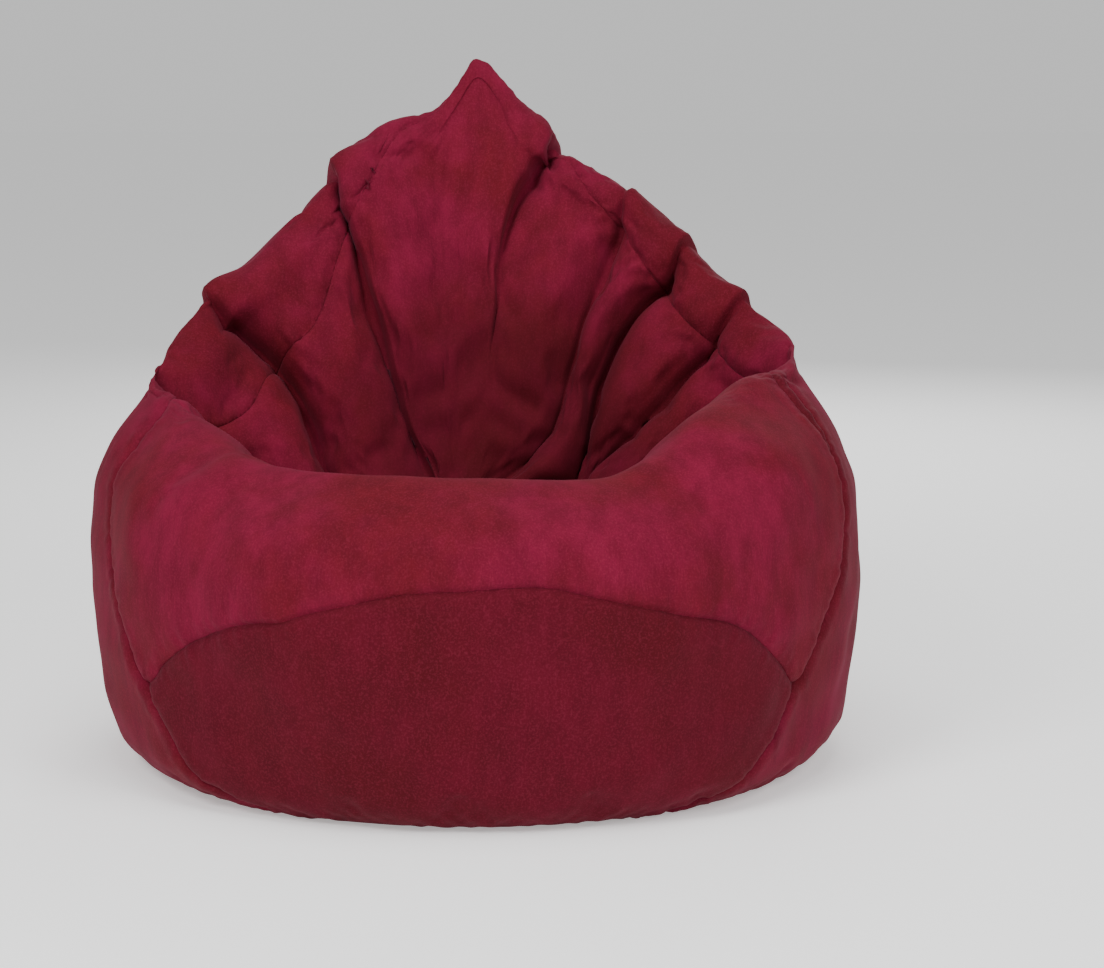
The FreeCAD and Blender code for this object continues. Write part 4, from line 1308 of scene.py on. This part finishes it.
@dataclass
class ZipStitching:
    """The rows of stitches that hold the cover's edges to the zip's tapes."""

    centre: tuple[float, float] = (-0.377, 0.215)
    radius: float = 0.8502
    aside: float = 0.0125
    span: tuple[float, float] = (-1.9, 25.9)
    pitch: float = 0.0036

    def place(self, aside: float, turned: float) -> Matrix:
        """Where a stitch lies.

        Args:
            aside: metres beside the zip.
            turned: degrees along it.

        Returns:
            The stitch's place, with its length along the zip.
        """
        angle = math.radians(turned)
        off = Vector((0.0, math.cos(angle), math.sin(angle)))
        along = Vector((0.0, -math.sin(angle), math.cos(angle)))
        middle = Vector((aside, self.centre[0], self.centre[1])) + off * self.radius
        turn = Matrix((along, off.cross(along), off)).transposed()
        return Matrix.Translation(middle) @ turn.to_4x4()

    def build(self) -> None:
        """Makes both rows and the two short rows across the ends."""
        work = bmesh.new()
        step = math.degrees(self.pitch / self.radius)
        places = []
        for side in (-1, 1):
            count = int((self.span[1] - self.span[0]) / step)
            places += [(self.place(side * self.aside, self.span[0] + n * step), 0.0)
                       for n in range(count + 1)]
        across = int(2 * self.aside / self.pitch)
        for end in self.span:
            places += [(self.place(-self.aside + (n + 0.5) * self.pitch, end), 90.0) for n in range(across)]
        for matrix, turn in places:
            add_stitch(work, matrix @ Matrix.Rotation(math.radians(turn), 4, "Z"))
        rows = finished("zip_stitching", work)
        thread = MouldedFinish("zip_thread", (0.17, 0.018, 0.04), (0.10, 0.010, 0.02), 0.0, 0.6)
        rows.data.materials.append(thread.make())
        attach(rows, BODY)
        log.info("zip_stitching: %d stitches", len(places))


@dataclass
class CarryLoop:
    """The webbing loop on the back, sewn down through a suede patch at both of its ends."""

    hinge: Point = (0.0, 0.371345, 0.675022)
    lean: float = 18.2
    nape: float = 0.3576
    width: float = 0.029
    thickness: float = 0.0026
    # Where the webbing runs: metres from the middle, and how far it stands off the back.
    route: tuple[tuple[float, float], ...] = (
        (0.0975, 0.0040), (0.086, 0.0042), (0.074, 0.0042), (0.062, 0.0046), (0.055, 0.0080),
        (0.0485, 0.0130), (0.040, 0.0172), (0.028, 0.0206), (0.014, 0.0222), (0.0, 0.0226))
    # One side of the webbing to the other in half widths, and its thickness there.
    profile: tuple[tuple[float, float], ...] = (
        (-1.0, -0.25), (-0.96, -0.5), (0.0, -0.5), (0.96, -0.5), (1.0, -0.25), (1.0, 0.25),
        (0.96, 0.5), (0.5, 0.42), (0.0, 0.5), (-0.5, 0.42), (-0.96, 0.5), (-1.0, 0.25))
    rings: int = 64
    # The box of stitches on each sewn end: from, to and half its height.
    box: Point = (0.066, 0.092, 0.0105)
    stitch_pitch: float = 0.0032
    sewn_off: float = 0.0042
    # The webbing turns from the bag to the loop between these, in metres from the middle.
    bend: tuple[float, float] = (0.054, 0.034)

    def frame_at(self, along: float, off: float) -> tuple[Vector, Vector, Vector]:
        """Where the webbing would lie.

        Args:
            along: metres from the middle of the loop.
            off: metres off the back.

        Returns:
            The middle of the webbing, its width's way and the way off the back.
        """
        turned = math.radians(self.lean)
        off_back = Vector((0.0, math.cos(turned), math.sin(turned)))
        widthwise = Vector((0.0, -math.sin(turned), math.cos(turned)))
        surface = Vector((along, math.sqrt(self.nape ** 2 - along ** 2), self.hinge[2] - 0.004))
        return surface + off_back * off, widthwise, off_back

    def half(self, side: int) -> bpy.types.Object:
        """Makes one half of the webbing, from its sewn end to the middle.

        Args:
            side: -1 or 1.

        Returns:
            The webbing.
        """
        work = bmesh.new()
        at = np.array(self.route)
        rings = []
        for step in np.linspace(0.0, len(at) - 1, self.rings):
            along, off = (float(np.interp(step, range(len(at)), at[:, n])) for n in (0, 1))
            middle, widthwise, off_back = self.frame_at(side * along, off)
            corners = [middle + widthwise * (u * self.width / 2) + off_back * (v * self.thickness)
                       for u, v in self.profile]
            rings.append([work.verts.new(corner) for corner in corners])
        for one, two in zip(rings, rings[1:]):
            for n in range(len(one)):
                m = (n + 1) % len(one)
                work.faces.new((one[n], one[m], two[m], two[n]))
        work.faces.new(rings[0][::-1])
        work.faces.new(rings[-1])
        bmesh.ops.recalc_face_normals(work, faces=work.faces)
        return finished("loop_webbing_left" if side < 0 else "loop_webbing_right", work)

    def stitches(self, side: int) -> bpy.types.Object:
        """Makes the box of stitches, crossed, that sews one end of the webbing down.

        Args:
            side: -1 or 1.

        Returns:
            The stitches.
        """
        work = bmesh.new()
        low, high, wide = self.box
        corners = [(low, -wide), (high, -wide), (high, wide), (low, wide), (low, -wide), (high, wide),
                   (high, -wide), (low, wide)]
        off = self.sewn_off + self.thickness * 0.5 + 0.0001
        for (a, u), (b, v) in zip(corners, corners[1:]):
            count = max(2, round(math.hypot(b - a, v - u) / self.stitch_pitch))
            for n in range(count):
                share = (n + 0.5) / count
                along, across = a + (b - a) * share, u + (v - u) * share
                middle, widthwise, off_back = self.frame_at(side * along, off)
                sideways = widthwise.cross(off_back)
                outward = (b - a) * math.copysign(1.0, sideways.x) * side
                way = (sideways * outward + widthwise * (v - u)).normalized()
                turned = way.to_track_quat("X", "Z").to_matrix().to_4x4()
                add_stitch(work, Matrix.Translation(middle + widthwise * across) @ turned)
        return finished("loop_stitches_left" if side < 0 else "loop_stitches_right", work)

    def build(self) -> None:
        """Makes both halves of the loop, their stitches, and dresses the patch."""
        webbing = WebbingFinish("strap_webbing").make()
        thread = MouldedFinish("sewing_thread", (0.15, 0.016, 0.034), (0.10, 0.010, 0.02), 0.0, 0.6).make()
        for side, end in ((-1, "carry_loop_end_left"), (1, "carry_loop_end_right")):
            strap = self.half(side)
            strap.data.materials.append(webbing)
            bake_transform(strap, BODY, "loop", *((side * along, *self.hinge[1:]) for along in self.bend))
            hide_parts(end, "carry_loop")
            sewn = self.stitches(side)
            sewn.data.materials.append(thread)
            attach(sewn, BODY)
            log.info("%s and its stitches", strap.name)
        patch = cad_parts["loop_backing_patch"].data
        patch.materials.clear()
        patch.materials.append(SuedeFinish("suede_patch", panel_shade=0.85).make())


@dataclass
class Studio:
    """A plain pale floor, soft lights and the camera."""

    elevation: float = 9.5
    distance: float = 3.8
    lens: float = 99.5
    sky: float = 0.28
    backdrop: float = 0.70
    floor_glow: float = 0.42
    aim: Point = (0.092, 0.0, 0.3300)
    # Name, place, aim, size and power.
    lamps: tuple[tuple[str, Point, Point, float, float], ...] = (
        ("key", (-1.5, -2.5, 2.5), (0.0, 0.0, 0.35), 1.2, 74.0),
        ("fill", (2.0, -2.2, 2.3), (0.0, 0.0, 0.45), 1.5, 48.0),
        ("top", (0.0, -0.9, 3.0), (0.0, -0.2, 0.3), 1.8, 45.0),
        ("behind", (0.6, 2.9, 1.9), (0.0, 0.0, 0.4), 1.8, 48.0))

    def floor(self) -> None:
        """A pale sweep under and behind the bag."""
        bpy.ops.mesh.primitive_plane_add(size=30.0, location=(0.0, 0.0, 0.0))
        ground = bpy.context.active_object
        ground.name = "floor"
        tree = MaterialTree("floor_white")
        ground.data.materials.append(tree.finish({
            "Base Color": (0.95, 0.95, 0.95, 1.0), "Roughness": 0.9,
            "Emission Color": (1.0, 1.0, 1.0, 1.0), "Emission Strength": self.floor_glow}))

    def light(self, name: str, place: Point, aim: Point, size: float, power: float) -> None:
        """Adds a square soft light.

        Args:
            name: its name.
            place: where it stands.
            aim: where it points.
            size: its width.
            power: its power in watts.
        """
        data = bpy.data.lights.new(name, "AREA")
        data.size, data.energy = size, power
        lamp = bpy.data.objects.new(name, data)
        bpy.context.collection.objects.link(lamp)
        lamp.location = place
        lamp.rotation_euler = (Vector(aim) - Vector(place)).to_track_quat("-Z", "Y").to_euler()

    def build(self) -> None:
        """Makes the floor, the lights, the world and the camera."""
        self.floor()
        for lamp in self.lamps:
            self.light(*lamp)
        world = bpy.data.worlds.new("studio")
        world.use_nodes = True
        nodes, links = world.node_tree.nodes, world.node_tree.links
        sky, backdrop = nodes["Background"], nodes.new("ShaderNodeBackground")
        for shade, strength in ((sky, self.sky), (backdrop, self.backdrop)):
            shade.inputs[0].default_value = (1.0, 1.0, 1.0, 1.0)
            shade.inputs[1].default_value = strength
        seen, mixed = nodes.new("ShaderNodeLightPath"), nodes.new("ShaderNodeMixShader")
        links.new(seen.outputs["Is Camera Ray"], mixed.inputs[0])
        links.new(sky.outputs[0], mixed.inputs[1])
        links.new(backdrop.outputs[0], mixed.inputs[2])
        links.new(mixed.outputs[0], nodes["World Output"].inputs[0])
        bpy.context.scene.world = world
        data = bpy.data.cameras.new("camera")
        data.lens = self.lens
        camera = bpy.data.objects.new("camera", data)
        bpy.context.collection.objects.link(camera)
        tilt = math.radians(self.elevation)
        away = Vector((0.0, -math.cos(tilt), math.sin(tilt))) * self.distance
        camera.location = Vector(self.aim) + away
        camera.rotation_euler = (-away).to_track_quat("-Z", "Y").to_euler()
        bpy.context.scene.camera = camera


def main() -> None:
    """Builds every sub-assembly in order."""
    logging.basicConfig(level=logging.INFO, format="%(name)s: %(message)s")
    Cover().build()
    Lining().build()
    Fastenings().build()
    ZipStitching().build()
    CarryLoop().build()
    Studio().build()


if __name__ == "__main__":
    main()
